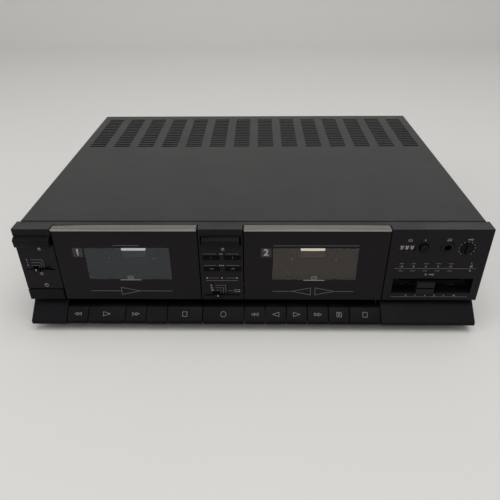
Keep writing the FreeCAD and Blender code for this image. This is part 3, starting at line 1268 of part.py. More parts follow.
# Every object is checked, and then each named piece is written to its own file.
doc.recompute()
for thing in doc.Objects:
    if "Invalid" in thing.State or "Error" in thing.State:
        raise RuntimeError(f"{thing.Label} did not compute")
os.makedirs("parts", exist_ok=True)
for thing in PIECES:
    if thing.Shape.isNull() or not thing.Shape.isValid() or not thing.Shape.Solids:
        raise RuntimeError(f"{thing.Label} is not a good solid")
    thing.Shape.exportStep(f"parts/{thing.Label}.step")
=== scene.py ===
import math
import bpy
from mathutils import Matrix, Vector


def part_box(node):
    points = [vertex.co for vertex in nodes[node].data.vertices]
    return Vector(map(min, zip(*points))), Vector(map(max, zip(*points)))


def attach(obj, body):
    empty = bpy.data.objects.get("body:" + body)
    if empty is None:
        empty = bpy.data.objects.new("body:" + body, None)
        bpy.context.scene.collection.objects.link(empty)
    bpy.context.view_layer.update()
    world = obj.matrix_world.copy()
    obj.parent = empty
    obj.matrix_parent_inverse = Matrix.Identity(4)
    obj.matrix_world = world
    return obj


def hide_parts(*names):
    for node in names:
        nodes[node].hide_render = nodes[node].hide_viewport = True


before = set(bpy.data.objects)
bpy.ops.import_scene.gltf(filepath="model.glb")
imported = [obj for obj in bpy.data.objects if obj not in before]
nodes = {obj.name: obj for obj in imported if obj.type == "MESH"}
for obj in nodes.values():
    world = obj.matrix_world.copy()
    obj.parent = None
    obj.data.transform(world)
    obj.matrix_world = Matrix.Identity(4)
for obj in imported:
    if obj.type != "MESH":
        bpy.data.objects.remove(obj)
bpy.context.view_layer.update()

# The camera: about 40 cm in front of the deck's face and 22 cm above its top, looking down at the
# front and the cover. It is set before anything else, and nothing in the scene depends on it.
camera = bpy.data.objects.new("camera", bpy.data.cameras.new("camera"))
bpy.context.collection.objects.link(camera)
camera.data.lens = 36.13
camera.data.sensor_width = 36
camera.matrix_world = (
    Matrix.Translation((0.00729, -0.54939, 0.33424))
    @ Matrix.Rotation(math.radians(1.239), 4, "Z")
    @ Matrix.Rotation(math.radians(90 - 32.24), 4, "X")
    @ Matrix.Rotation(math.radians(-0.574), 4, "Z")
)
bpy.context.scene.camera = camera
bpy.context.scene.view_settings.view_transform = "Standard"


# The light: a wide soft panel overhead, a weaker one from the left, and an even pale surround.
# Together they light a level surface so that its colour renders about as it is written.
def soft_panel(name, place, aim, across, power):
    """A square area lamp that looks from its place at a point."""
    lamp = bpy.data.objects.new(name, bpy.data.lights.new(name, "AREA"))
    bpy.context.collection.objects.link(lamp)
    lamp.data.size = across
    lamp.data.energy = power
    lamp.location = place
    lamp.rotation_euler = (Vector(aim) - Vector(place)).to_track_quat("-Z", "Y").to_euler()


soft_panel("panel_overhead", (0.2, -0.35, 1.9), (0, 0, 0), 1.6, 23)
soft_panel("panel_left", (-1.6, -0.9, 1.1), (0, 0, 0.05), 0.9, 7)
world = bpy.data.worlds.new("surround")
bpy.context.scene.world = world
world.use_nodes = True
world.node_tree.nodes["Background"].inputs["Color"].default_value = (0.95, 0.97, 1.0, 1)
world.node_tree.nodes["Background"].inputs["Strength"].default_value = 0.49


# The floor: one pale matt sheet that sweeps up behind the deck into a backdrop.
# A plane's rear edge is turned upward round a wide bend and then drawn straight up.
def hold(piece):
    """Makes a piece the active one and the only one selected."""
    bpy.ops.object.select_all(action="DESELECT")
    piece.select_set(True)
    bpy.context.view_layer.objects.active = piece


def freeze():
    """Writes the place, turn and scale of what is selected into its mesh."""
    bpy.ops.object.transform_apply(location=True, rotation=True, scale=True)


def choose(piece, kind, test):
    """Opens a piece for editing with what passes a test chosen.

    A test is given a face's middle and normal, or a point's place."""
    hold(piece)
    bpy.ops.object.mode_set(mode="EDIT")
    bpy.ops.mesh.select_mode(type=kind)
    bpy.ops.mesh.select_all(action="DESELECT")
    bpy.ops.object.mode_set(mode="OBJECT")
    if kind == "FACE":
        for facet in piece.data.polygons:
            facet.select = bool(test(facet.center, facet.normal))
    else:
        for point in piece.data.vertices:
            point.select = bool(test(point.co))
    bpy.ops.object.mode_set(mode="EDIT")


def extrude(way):
    """Draws what is chosen out of the mesh."""
    bpy.ops.mesh.extrude_region_move(TRANSFORM_OT_translate={"value": way})


def done():
    """Leaves edit mode."""
    bpy.ops.object.mode_set(mode="OBJECT")


FLOOR_WIDTH, FLOOR_FRONT, BEND_START, BEND_RADIUS, BACKDROP = 30, -13.0, 1.3, 0.6, 1.6
bpy.ops.object.select_all(action="DESELECT")
bpy.ops.mesh.primitive_plane_add(size=1, location=(0, (FLOOR_FRONT + BEND_START) / 2, 0))
floor = bpy.context.object
floor.name = floor.data.name = "floor_sweep"
floor.scale = (FLOOR_WIDTH, BEND_START - FLOOR_FRONT, 1)
freeze()
choose(floor, "VERT", lambda co: co.y > 0)
bpy.ops.mesh.spin(steps=32, angle=math.radians(-90), center=(0, BEND_START, BEND_RADIUS), axis=(1, 0, 0))
done()
choose(floor, "VERT", lambda co: co.z > BEND_RADIUS - 0.001)
extrude((0, 0, BACKDROP))
bpy.ops.mesh.select_all(action="SELECT")
bpy.ops.mesh.normals_make_consistent(inside=False)
done()
bpy.ops.object.shade_smooth()


def add_node(tree, kind, inputs=None, **settings):
    """A node with its settings, and its inputs given a value or the socket that feeds them."""
    node = tree.nodes.new(kind)
    for name, value in settings.items():
        setattr(node, name, value)
    for label, value in (inputs or {}).items():
        if isinstance(value, bpy.types.NodeSocket):
            tree.links.new(value, node.inputs[label])
        else:
            node.inputs[label].default_value = value
    return node


def noise(tree, place, scale, detail, roughness=0.5):
    """A cloudy pattern between 0 and 1."""
    inputs = {"Vector": place, "Scale": scale, "Detail": detail, "Roughness": roughness}
    return add_node(tree, "ShaderNodeTexNoise", inputs).outputs["Fac"]


def span(tree, value, first, last, ends=(0.0, 1.0)):
    """Goes from one end to the other while a value goes from the first to the last."""
    inputs = {"Value": value, "From Min": first, "From Max": last, "To Min": ends[0], "To Max": ends[1]}
    return add_node(tree, "ShaderNodeMapRange", inputs).outputs["Result"]


def product(tree, first, second):
    """Two numbers multiplied."""
    return add_node(tree, "ShaderNodeMath", {0: first, 1: second}, operation="MULTIPLY").outputs["Value"]


class Finish:
    """A material and its node tree, with short ways to feed its shader."""

    def __init__(self, name, **constants):
        self.material = bpy.data.materials.new(name)
        self.material.use_nodes = True
        self.tree = self.material.node_tree
        self.shader = self.tree.nodes["Principled BSDF"]
        for socket, value in constants.items():
            self.shader.inputs[socket.replace("_", " ")].default_value = value
        self.place = add_node(self.tree, "ShaderNodeTexCoord").outputs["Object"]

    def group(self, tree, **inputs):
        """A shared effect, placed in this material with its own values."""
        return add_node(self.tree, "ShaderNodeGroup", inputs, node_tree=tree).outputs

    def feed(self, socket, source):
        """Joins what a node gives to one of the shader's inputs."""
        self.tree.links.new(source, self.shader.inputs[socket])

    def blend(self, mask, *colours):
        """The first colour where the mask is 0 and the second where it is 1."""
        first, second = [c if isinstance(c, bpy.types.NodeSocket) else (*c, 1) for c in colours]
        inputs = {0: mask, 6: first, 7: second}
        return add_node(self.tree, "ShaderNodeMix", inputs, data_type="RGBA").outputs[2]

    def relief(self, height, strength, depth, normal=None):
        """A height that roughens the surface, over the normal of its rounded edges."""
        inputs = {"Height": height, "Strength": strength, "Distance": depth}
        if normal:
            inputs["Normal"] = normal
        self.feed("Normal", add_node(self.tree, "ShaderNodeBump", inputs).outputs["Normal"])

    def put_on(self, *pieces):
        """Gives pieces this finish and no other."""
        for piece in pieces:
            piece.data.materials.clear()
            piece.data.materials.append(self.material)


floor_finish = Finish("floor_paper", Roughness=0.75, Specular_IOR_Level=0.2)
mottle = noise(floor_finish.tree, floor_finish.place, 5.0, 3.0)
floor_finish.feed("Base Color", floor_finish.blend(mottle, (0.655, 0.635, 0.605), (0.675, 0.655, 0.625)))
floor_finish.relief(mottle, 0.05, 0.001)
floor_finish.put_on(floor)


# Effects that several finishes share. Each is a small group of nodes with named inputs and outputs.
# The first gives moulded and painted surfaces their fine tooth and their slow change of gloss.
def effect(name, inputs, outputs):
    """An empty group with number inputs, and outputs that are numbers or directions."""
    tree = bpy.data.node_groups.new(name, "ShaderNodeTree")
    for label, value in inputs.items():
        kind = "NodeSocketVector" if value is None else "NodeSocketFloat"
        socket = tree.interface.new_socket(label, in_out="INPUT", socket_type=kind)
        if value is not None:
            socket.default_value = value
    for label in outputs:
        kind = "NodeSocketVector" if label == "Normal" else "NodeSocketFloat"
        tree.interface.new_socket(label, in_out="OUTPUT", socket_type=kind)
    return tree, tree.nodes.new("NodeGroupInput").outputs, tree.nodes.new("NodeGroupOutput").inputs


tooth, given, result = effect("moulded_tooth", {"Place": None, "Scale": 1600.0}, ["Height", "Gloss"])
tooth.links.new(noise(tooth, given["Place"], given["Scale"], 2.0), result["Height"])
tooth.links.new(noise(tooth, given["Place"], 24.0, 4.0), result["Gloss"])

# Rounded and rubbed edges: the corner radius that every moulding and bent sheet has, and a
# broken line along it where the finish has been handled.
edges, given, result = effect(
    "rubbed_edge", {"Place": None, "Radius": 0.0004, "Patches": 160.0}, ["Rubbed", "Normal"])
rounded = add_node(edges, "ShaderNodeBevel", {"Radius": given["Radius"]}, samples=4).outputs["Normal"]
surface = add_node(edges, "ShaderNodeNewGeometry").outputs["Normal"]
turned = add_node(edges, "ShaderNodeVectorMath", {0: rounded, 1: surface}, operation="DOT_PRODUCT")
bend = span(edges, turned.outputs["Value"], 0.995, 0.8)
broken = span(edges, noise(edges, given["Place"], given["Patches"], 3.0), 0.45, 0.7)
edges.links.new(product(edges, bend, broken), result["Rubbed"])
edges.links.new(rounded, result["Normal"])

# Dust: a thin uneven film on what faces up.
dust, given, result = effect("settled_dust", {"Place": None, "Amount": 0.2}, ["Film"])
surface = add_node(dust, "ShaderNodeNewGeometry").outputs["Normal"]
level = span(dust, add_node(dust, "ShaderNodeSeparateXYZ", {"Vector": surface}).outputs["Z"], 0.3, 1.0)
uneven = span(dust, noise(dust, given["Place"], 18.0, 6.0, 0.65), 0.35, 0.75)
dust.links.new(product(dust, product(dust, level, uneven), given["Amount"]), result["Film"])

# Drawn metal: long scratches one way, as rolling, drawing or turning leaves.
drawn, given, result = effect(
    "drawn_lines", {"Place": None, "Along": 12.0, "Across": 900.0}, ["Height", "Tone"])
stretch = add_node(drawn, "ShaderNodeCombineXYZ",
                   {"X": given["Along"], "Y": given["Across"], "Z": given["Across"]}).outputs["Vector"]
stretched = add_node(drawn, "ShaderNodeVectorMath", {0: given["Place"], 1: stretch}, operation="MULTIPLY")
scratches = noise(drawn, stretched.outputs["Vector"], 1.0, 3.0)
drawn.links.new(scratches, result["Height"])
drawn.links.new(span(drawn, scratches, 0.3, 0.7), result["Tone"])

DUST = (0.30, 0.29, 0.27)


def tinted(colour, share, lift=0.0):
    """A colour made darker or lighter."""
    return [c * share + lift for c in colour]


def moulded(name, colour, gloss=(0.4, 0.5), scale=1600.0, edge=0.0004, rub=2.2, dusty=0.12, depth=0.00003,
            **constants):
    """A plastic or paint: its colour, a little lighter where rubbed, under a film of dust."""
    finish = Finish(name, **constants)
    grain = finish.group(tooth, Place=finish.place, Scale=scale)
    edge_line = finish.group(edges, Place=finish.place, Radius=edge)
    settled = finish.group(dust, Place=finish.place, Amount=dusty)
    shade = finish.blend(grain["Gloss"], tinted(colour, 0.86), tinted(colour, 1.14))
    shade = finish.blend(edge_line["Rubbed"], shade, tinted(colour, rub, 0.01))
    finish.feed("Base Color", finish.blend(settled["Film"], shade, DUST))
    finish.feed("Roughness", span(finish.tree, grain["Gloss"], 0.3, 0.7, gloss))
    finish.relief(grain["Height"], 0.4, depth, edge_line["Normal"])
    return finish


def metal(name, colour, gloss=(0.25, 0.4), along=12.0, across=900.0, edge=0.0003, tone=(0.85, 1.1)):
    """A bare or plated metal with drawn lines, a little brighter where rubbed."""
    finish = Finish(name, Metallic=1.0)
    scratch = finish.group(drawn, Place=finish.place, Along=along, Across=across)
    edge_line = finish.group(edges, Place=finish.place, Radius=edge)
    shade = finish.blend(scratch["Tone"], *[tinted(colour, share) for share in tone])
    finish.feed("Base Color", finish.blend(edge_line["Rubbed"], shade, tinted(colour, 1.3)))
    finish.feed("Roughness", span(finish.tree, scratch["Tone"], 0.0, 1.0, gloss))
    finish.relief(scratch["Height"], 0.25, 0.00002, edge_line["Normal"])
    return finish


# The chassis: a folded tray of zinc-plated steel that carries everything inside. Its finish is
# the dull even grey of rolled and plated sheet, and the motor's can has the same.
zinc = metal("zinc_steel", (0.52, 0.52, 0.51), gloss=(0.40, 0.47), along=30.0, across=1500.0,
             tone=(0.93, 1.05))
zinc.put_on(nodes["chassis"], nodes["motor"])


# The feet: moulded rubber, each held by one screw. A foot is a tapered pad, dished underneath
# round its screw, with a shallow step at the rim.
def block(name, low, high):
    """A cube between two corners, which is then shaped."""
    bpy.ops.object.select_all(action="DESELECT")
    bpy.ops.mesh.primitive_cube_add(size=1, location=[(a + b) / 2 for a, b in zip(low, high)])
    piece = bpy.context.object
    piece.name = piece.data.name = name
    piece.scale = [b - a for a, b in zip(low, high)]
    freeze()
    return piece


def disc(name, radius, start, along, length, vertices=48):
    """A round bar from its start point along X, Y or Z, which is then shaped."""
    bpy.ops.object.select_all(action="DESELECT")
    away = {"X": (1, 0, 0), "Y": (0, 1, 0), "Z": (0, 0, 1)}[along]
    turn = {"X": (0, math.pi / 2, 0), "Y": (-math.pi / 2, 0, 0), "Z": (0, 0, 0)}[along]
    bpy.ops.mesh.primitive_cylinder_add(
        vertices=vertices, radius=radius, depth=abs(length), rotation=turn,
        location=[a + b * length / 2 for a, b in zip(start, away)])
    piece = bpy.context.object
    piece.name = piece.data.name = name
    freeze()
    return piece


def round_edges(piece, width, segments=3):
    """A bevel on every sharp edge, and smooth shading between."""
    hold(piece)
    bevel = piece.modifiers.new("rounding", "BEVEL")
    bevel.width, bevel.segments = width, segments
    bevel.limit_method, bevel.angle_limit = "ANGLE", math.radians(35)
    bpy.ops.object.modifier_apply(modifier="rounding")
    bpy.ops.object.shade_smooth_by_angle(angle=math.radians(40))


def one_piece(name, pieces):
    """Several shapes made into one object."""
    bpy.ops.object.select_all(action="DESELECT")
    for piece in pieces:
        piece.select_set(True)
    bpy.context.view_layer.objects.active = pieces[0]
    if len(pieces) > 1:
        bpy.ops.object.join()
    pieces[0].name = pieces[0].data.name = name
    return pieces[0]


def facing(*way):
    """A test for the faces that look one way."""
    return lambda middle, normal: normal.dot(Vector(way)) > 0.9


DOWN, UP, FORWARD = facing(0, 0, -1), facing(0, 0, 1), facing(0, -1, 0)


def taper(piece, test, share, middle):
    """Scales the chosen faces about a point."""
    choose(piece, "FACE", test)
    bpy.ops.transform.resize(value=(*share, 1), center_override=middle)
    done()


def sink(piece, test, *steps):
    """Insets the chosen faces and moves what is inside the rim, once for each step."""
    choose(piece, "FACE", test)
    for rim, way in steps:
        bpy.ops.mesh.inset(thickness=rim)
        extrude(way)
    done()


FOOT_RADIUS = 0.015
feet_low, feet_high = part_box("feet")
feet, screws = [], []
for x in (feet_low.x + FOOT_RADIUS, feet_high.x - FOOT_RADIUS):
    for y in (feet_low.y + FOOT_RADIUS, feet_high.y - FOOT_RADIUS):
        foot = disc("foot", FOOT_RADIUS, (x, y, 0), "Z", feet_high.z - feet_low.z)
        taper(foot, DOWN, (0.9, 0.9), (x, y, 0))
        sink(foot, DOWN, (0.0028, (0, 0, 0.0012)), (0.0045, (0, 0, 0.0035)))
        round_edges(foot, 0.0006)
        feet.append(foot)
        screw = disc("foot_screw", 0.0034, (x, y, 0.0047), "Z", -0.0019, 24)
        sink(screw, DOWN, (0.0018, (0, 0, 0.001)))
        round_edges(screw, 0.0003, 2)
        screws.append(screw)
foot_set = one_piece("rubber_feet", feet)
rubber = moulded("foot_rubber", (0.02, 0.02, 0.02), gloss=(0.7, 0.85), scale=700.0, edge=0.0012, dusty=0.2,
                 Specular_IOR_Level=0.3)
rubber.put_on(foot_set)
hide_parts("feet")
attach(foot_set, "case")
bright = metal("bright_steel", (0.62, 0.61, 0.59), gloss=(0.18, 0.32))
foot_screws = one_piece("foot_screws", screws)
bright.put_on(foot_screws)
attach(foot_screws, "case")

# Inside on the floor: the transformer's varnished iron with its taped coil, and the resin board.
# The board carries twelve capacitors in blue sleeves and six chips with sloping sides.
COIL_DEPTH = 0.0089
iron = moulded("core_iron", (0.10, 0.095, 0.09), gloss=(0.45, 0.6), scale=500.0, dusty=0.3)
tape = moulded("coil_tape", (0.42, 0.30, 0.07), gloss=(0.3, 0.4), scale=900.0, dusty=0.2)
transformer = nodes["transformer"]
iron.put_on(transformer)
transformer.data.materials.append(tape.material)
low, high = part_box("transformer")
for facet in transformer.data.polygons:
    beside_core = facet.center.y < low.y + COIL_DEPTH or facet.center.y > high.y - COIL_DEPTH
    facet.material_index = 1 if beside_core else 0
resin = moulded("resin_board", (0.30, 0.21, 0.09), gloss=(0.3, 0.45), scale=400.0, dusty=0.3)
resin.put_on(nodes["main_board"])
board_low, board_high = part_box("main_board")


def on_board(column, row):
    """A spot on the board, from its shares of the board's width and depth."""
    x = board_low.x + column * (board_high.x - board_low.x)
    return x, board_low.y + row * (board_high.y - board_low.y), board_high.z


cans, chips = [], []
for radius, height, spots in ((0.0060, 0.022, ((0.12, 0.2), (0.17, 0.2))),
                              (0.0040, 0.012, ((0.24, 0.15), (0.3, 0.3), (0.45, 0.7), (0.52, 0.7))),
                              (0.0032, 0.010, ((0.6, 0.25), (0.66, 0.5), (0.36, 0.8))),
                              (0.0090, 0.030, ((0.8, 0.8), (0.88, 0.8))),
                              (0.0050, 0.016, ((0.9, 0.4),))):
    for spot in spots:
        can = disc("can", radius, on_board(*spot), "Z", height, 24)
        sink(can, UP, (radius * 0.15, (0, 0, -0.0004)))
        round_edges(can, 0.0005, 2)
        cans.append(can)
CHIP_DEPTH, CHIP_HEIGHT = 0.0075, 0.0042
for column, row, length in ((0.2, 0.55, 0.024), (0.34, 0.5, 0.020), (0.48, 0.4, 0.020), (0.62, 0.75, 0.036),
                            (0.75, 0.3, 0.020), (0.56, 0.12, 0.020)):
    x, y, z = on_board(column, row)
    chip = block("chip", (x, y, z), (x + length, y + CHIP_DEPTH, z + CHIP_HEIGHT))
    taper(chip, UP, (0.97, 0.88), (x + length / 2, y + CHIP_DEPTH / 2, 0))
    round_edges(chip, 0.0003, 2)
    chips.append(chip)
cans = one_piece("board_capacitors", cans)
moulded("capacitor_sleeve", (0.02, 0.05, 0.12), gloss=(0.2, 0.3), dusty=0.2).put_on(cans)
chips = one_piece("board_chips", chips)
moulded("chip_black", (0.015, 0.015, 0.016), gloss=(0.35, 0.5), dusty=0.2).put_on(chips)
for piece in (cans, chips):
    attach(piece, "case")

# The drive: a brass pulley, a rubber belt and turned flywheels on steel capstans, behind the wells.
# The tape heads sit on plated carriages in front, with the holders and the key shaft as bright.
brass = metal("turned_brass", (0.70, 0.55, 0.28), gloss=(0.2, 0.3))
brass.put_on(nodes["motor_pulley"])
belt_rubber = moulded("belt_rubber", (0.015, 0.015, 0.015), gloss=(0.5, 0.6), scale=900.0, dusty=0.05)
belt_rubber.put_on(nodes["drive_belt"])
flywheel = metal("flywheel_steel", (0.58, 0.58, 0.58), gloss=(0.2, 0.3), along=400.0, across=400.0)
flywheel.put_on(nodes["flywheel_a"], nodes["flywheel_b_left"], nodes["flywheel_b_right"])
bright.put_on(nodes["key_shaft"], nodes["head_carriage_a"], nodes["head_carriage_b"],
              nodes["cassette_holder_a"], nodes["cassette_holder_b"])
tyre = moulded("roller_rubber", (0.02, 0.02, 0.02), gloss=(0.55, 0.65), scale=900.0, dusty=0.02)
tyre.put_on(nodes["pinch_roller_a"], nodes["pinch_roller_b_left"], nodes["pinch_roller_b_right"])
mechanism = moulded("mechanism_plastic", (0.012, 0.012, 0.013), gloss=(0.45, 0.55), dusty=0.05,
                    Specular_IOR_Level=0.3)
mechanism.put_on(nodes["mechanism_frame"])

# The spindles: black mouldings with fins, of which the small flat end of each hub is painted white as a
# highlight.
# Those four painted glints are what shows of them through the smoked windows.
TIP_RADIUS, TIP_DEPTH = 0.0012, 0.0002
spindle_black = moulded("spindle_plastic", (0.016, 0.016, 0.016), gloss=(0.35, 0.45), dusty=0.0)
white_tick_and_tip_glint = moulded("white_tick_and_tip_glint", (0.78, 0.77, 0.74), gloss=(0.3, 0.4), rub=1.0, dusty=0.0)
for name in ("spindle_a_left", "spindle_a_right", "spindle_b_left", "spindle_b_right"):
    spindle = nodes[name]
    spindle_black.put_on(spindle)
    spindle.data.materials.append(white_tick_and_tip_glint.material)
    low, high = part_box(name)
    # The faces at the end of the hub take the white: a painted highlight.
    for facet in spindle.data.polygons:
        off = math.hypot(facet.center.x - (low.x + high.x) / 2, facet.center.z - (low.z + high.z) / 2)
        facet.material_index = 1 if facet.center.y < low.y + TIP_DEPTH and off < TIP_RADIUS else 0

# The plates behind the cassettes: each is in two parts snapped into the wall behind its window. The pale
# strip that stands proud glows, a painted highlight of the light from above, and the duller stepped one
# below is painted shade.
strip = moulded("painted_glow_strip", (0.80, 0.79, 0.76), gloss=(0.3, 0.4), rub=1.0, dusty=0.0)
# The strip is no lamp: its glow is painted light.
strip.shader.inputs["Emission Color"].default_value = (1.0, 0.94, 0.86, 1)
strip.shader.inputs["Emission Strength"].default_value = 1.8
patch = moulded("painted_shade_patch", (0.30, 0.27, 0.24), gloss=(0.3, 0.4), rub=1.0, dusty=0.0)
face_low, face_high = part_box("front_panel")
face, top = face_low.y, face_high.z
WALL = face + 0.024
PLATE_HALF = 0.0117
for deck in ("a", "b"):
    low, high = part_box(f"window_{deck}")
    middle = (low.x + high.x) / 2
    for name, finish, start, upper, lower, rim, way in (
            ("painted_glow_strip", strip, -0.0012, 0.0305, 0.0362, 0.0006, (0, -0.0005, 0)),
            ("painted_shade_patch", patch, 0.0004, 0.0363, 0.0448, 0.0008, (0, 0.0006, 0))):
        piece = block(f"{name}_{deck}", (middle - PLATE_HALF, WALL + start, top - lower),
                      (middle + PLATE_HALF, WALL + 0.002, top - upper))
        sink(piece, FORWARD, (rim, way))
        round_edges(piece, 0.0002, 2)
        finish.put_on(piece)
        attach(piece, "case")

# The front: one moulding in near-black plastic with a fine spark-eroded tooth, from edge to edge.
# The level tray and the dishes of the slide switches are painted blacker, as shade where light hardly
# reaches, and the narrow faces on top are painted paler, as a highlight where it falls flat.
black = (0.0052, 0.0038, 0.0056)
front = nodes["front_panel"]
front_plastic = moulded("front_plastic", black, gloss=(0.42, 0.52), dusty=0.16, Specular_IOR_Level=0.16)
front_plastic.put_on(front)
painted_shade_black = moulded("painted_shade_black", (0.0023, 0.0018, 0.0025), gloss=(0.5, 0.6), dusty=0.02,
                     Specular_IOR_Level=0.08)
painted_top_highlight = moulded("painted_top_highlight", (0.0310, 0.0290, 0.0315), gloss=(0.42, 0.52), dusty=0.10,
                    Specular_IOR_Level=0.16)
for finish in (painted_shade_black, painted_top_highlight):
    front.data.materials.append(finish.material)
TRAY = (0.1343, 0.2105, 0.0532, 0.0708, 0.0095)
TIMER_DISH = (-0.2072, -0.1893, 0.0398, 0.0450, 0.0015)
REVERSE_DISH = (-0.0382, -0.0228, 0.0694, 0.0746, 0.0015)
for facet in front.data.polygons:
    x, y, z = facet.center
    recessed = any(left < x < right and top - lower < z < top - upper and y < face + depth
                   for left, right, upper, lower, depth in (TRAY, TIMER_DISH, REVERSE_DISH))
    if recessed and y > face + 0.0002:
        facet.material_index = 1
    elif facet.normal.z > 0.9 and z > top - 0.0006:
        facet.material_index = 2
door_plastic = moulded("door_plastic", black, gloss=(0.36, 0.44), edge=0.0005, dusty=0.16,
                       Specular_IOR_Level=0.15)
door_plastic.put_on(nodes["door_a"], nodes["door_b"])


# The printed marks of the front: thin pale lines, signs and plain numbers, silk-screened on the
# blocks. Brackets lead from each switch to its places, and two scales run over and under the tray.
def lay(piece, x, y, z, lean, turn=0.0):
    """Stands a flat shape, drawn level at the middle of the scene, on a surface that leans and turns."""
    hold(piece)
    solid = piece.modifiers.new("ink", "SOLIDIFY")
    solid.thickness, solid.offset = 0.00006, 0
    bpy.ops.object.modifier_apply(modifier="ink")
    piece.rotation_euler = (lean, 0, turn)
    piece.location = (x, y, z)
    freeze()
    return piece


def stroke(width, height, x=0.0, y=0.0):
    """A flat bar of ink."""
    bpy.ops.object.select_all(action="DESELECT")
    bpy.ops.mesh.primitive_plane_add(size=1, location=(x, y, 0))
    bar = bpy.context.object
    bar.scale = (width, height, 1)
    freeze()
    return bar


def outline(sides, width, height, line, turn=0.0, x=0.0, y=0.0):
    """A triangle, square or circle, drawn as a line of the given width or filled if there is none."""
    bpy.ops.object.select_all(action="DESELECT")
    bpy.ops.mesh.primitive_circle_add(vertices=sides, radius=1, fill_type="NGON", rotation=(0, 0, turn))
    shape = bpy.context.object
    freeze()
    across = [point.co.x for point in shape.data.vertices]
    along = [point.co.y for point in shape.data.vertices]
    shape.scale = (width / (max(across) - min(across)), height / (max(along) - min(along)), 1)
    shape.location = (x - (max(across) + min(across)) / 2 * shape.scale.x, y, 0)
    freeze()
    if line:
        choose(shape, "FACE", lambda middle, normal: True)
        bpy.ops.mesh.inset(thickness=line)
        bpy.ops.mesh.delete(type="FACE")
        done()
    return shape


def lettering(text, size, bold=0.01):
    """A plain number or word in flat outline, made mesh before it is placed."""
    bpy.ops.object.select_all(action="DESELECT")
    bpy.ops.object.text_add(location=(0, 0, 0))
    written = bpy.context.object
    written.data.body = text
    written.data.size = size
    written.data.offset = size * bold
    written.data.align_x = "CENTER"
    written.data.align_y = "CENTER"
    bpy.ops.object.convert(target="MESH")
    return bpy.context.object


UPRIGHT, SQUARE, TO_RIGHT, TO_LEFT = math.pi / 2, math.pi / 4, -math.pi / 2, math.pi / 2
HAIR = 0.00028
SIGN_LINE = 0.0003
ink_plane = face - 0.00005
marks, rules = [], []


def on_face(shapes, x, drop):
    """Shapes laid as ink on the upright face, at a place given from the middle and the upper edge."""
    return lay(one_piece("mark", shapes), x, ink_plane, top - drop, UPRIGHT)


def print_sign(x, drop, *shapes):
    """A sign or a number in the brighter ink."""
    marks.append(on_face(shapes, x, drop))


def print_rule(x, drop, width, height=HAIR):
    """A line in the fainter ink."""
    rules.append(on_face([stroke(width, height)], x, drop))


def eject_sign(size):
    """A triangle over a bar."""
    return outline(3, size, size * 0.6, None), stroke(size, size * 0.18, 0, -size * 0.55)


def brackets(steps, left, foot):
    """Lines that run right and then down to a switch's places, one inside the other."""
    for drop, end in steps:
        print_rule((left + end) / 2, drop, end - left)
        print_rule(end, (drop + foot) / 2, HAIR, foot - drop)


# On the left block: eject, the timer switch's numbers and clock, and the power sign.
brackets(((0.0330, -0.1963), (0.0362, -0.1985), (0.0394, -0.2003)), -0.2075, 0.0420)
for drop, text in ((0.0330, "2"), (0.0362, "1"), (0.0394, "0")):
    print_sign(-0.2110, drop, lettering(text, 0.0024))
print_sign(-0.1965, 0.0203, *eject_sign(0.0030))
print_sign(-0.2003, 0.0488, outline(24, 0.0032, 0.0032, SIGN_LINE), stroke(0.0003, 0.0013, 0, 0.0005),
           stroke(0.0009, 0.0003, 0.0004))
print_sign(-0.1985, 0.0622, outline(24, 0.0036, 0.0036, 0.00035), stroke(0.0004, 0.0022, 0, 0.0015))

# On the middle block: eject, a sign between rules over each pair of buttons, the line with arrow
# heads under them, and the three places of the reverse switch with their signs.
centre = (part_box("door_a")[1].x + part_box("door_b")[0].x) / 2
print_sign(centre + 0.0018, 0.0203, *eject_sign(0.0030))
print_sign(centre, 0.0262, *[outline(3, 0.0014, 0.0014, None, TO_RIGHT, x) for x in (-0.0009, 0.0009)])
print_sign(centre, 0.0390, *[stroke(0.0010, 0.0009, x) for x in (0, -0.0018, 0.0018)])
for side, turn in ((-1, TO_LEFT), (1, TO_RIGHT)):
    for drop in (0.0262, 0.0390):
        print_rule(centre + side * 0.0104, drop, 0.0112)
        print_rule(centre + side * 0.0160, drop + 0.0005, HAIR, 0.0012)
    print_sign(centre + side * 0.0145, 0.0534, outline(3, 0.0018, 0.0016, None, turn))
    print_rule(centre + side * 0.0080, 0.0534, 0.0095)
print_sign(centre, 0.0534, outline(16, 0.0014, 0.0014, None))
print_rule(centre, 0.0564, 0.0300)
SIGNS_LEFT = centre - 0.0104
brackets(((0.0620, centre + 0.0030), (0.0650, centre + 0.0008), (0.0678, centre - 0.0016)), centre - 0.0068,
         0.0714)
print_sign(SIGNS_LEFT, 0.0620, outline(3, 0.0018, 0.0016, None, TO_RIGHT))
print_sign(SIGNS_LEFT, 0.0650, outline(16, 0.0020, 0.0018, SIGN_LINE))
print_sign(SIGNS_LEFT, 0.0678, outline(3, 0.0018, 0.0016, None, TO_LEFT), stroke(0.0004, 0.0016, 0.0014))
print_sign(centre + 0.0142, 0.0684, outline(4, 0.0050, 0.0026, SIGN_LINE, SQUARE))
print_rule(centre + 0.0080, 0.0684, 0.0048, 0.0003)

# On the right block, from above: the counter's signs, headphones and volume, the level scale with
# its plain numbers over the tray, the sliders' scale under it, and dots round the volume knob.
print_sign(0.1440, 0.0114, outline(4, 0.0034, 0.0018, SIGN_LINE, SQUARE))
print_sign(0.1575, 0.0114, lettering("0", 0.0024))
print_sign(0.1790, 0.0108, outline(20, 0.0030, 0.0026, SIGN_LINE, 0, 0, 0.0002),
           *[stroke(0.0008, 0.0013, x, -0.0006) for x in (-0.0014, 0.0014)])
print_sign(0.1975, 0.0104, outline(3, 0.0052, 0.0018, SIGN_LINE, TO_LEFT))
LAMP_PLACES = (0.140, 0.151, 0.1625, 0.174, 0.1855)
for x, text in zip(LAMP_PLACES, ("-15", "-8", "-3", "0", "+3")):
    print_sign(x, 0.0398, lettering(text, 0.0023))
for drop, text in ((0.0362, "L"), (0.0397, "dB"), (0.0445, "R")):
    print_sign(0.2045, drop, lettering(text, 0.0025))
print_rule(0.1718, 0.0420, 0.0755)
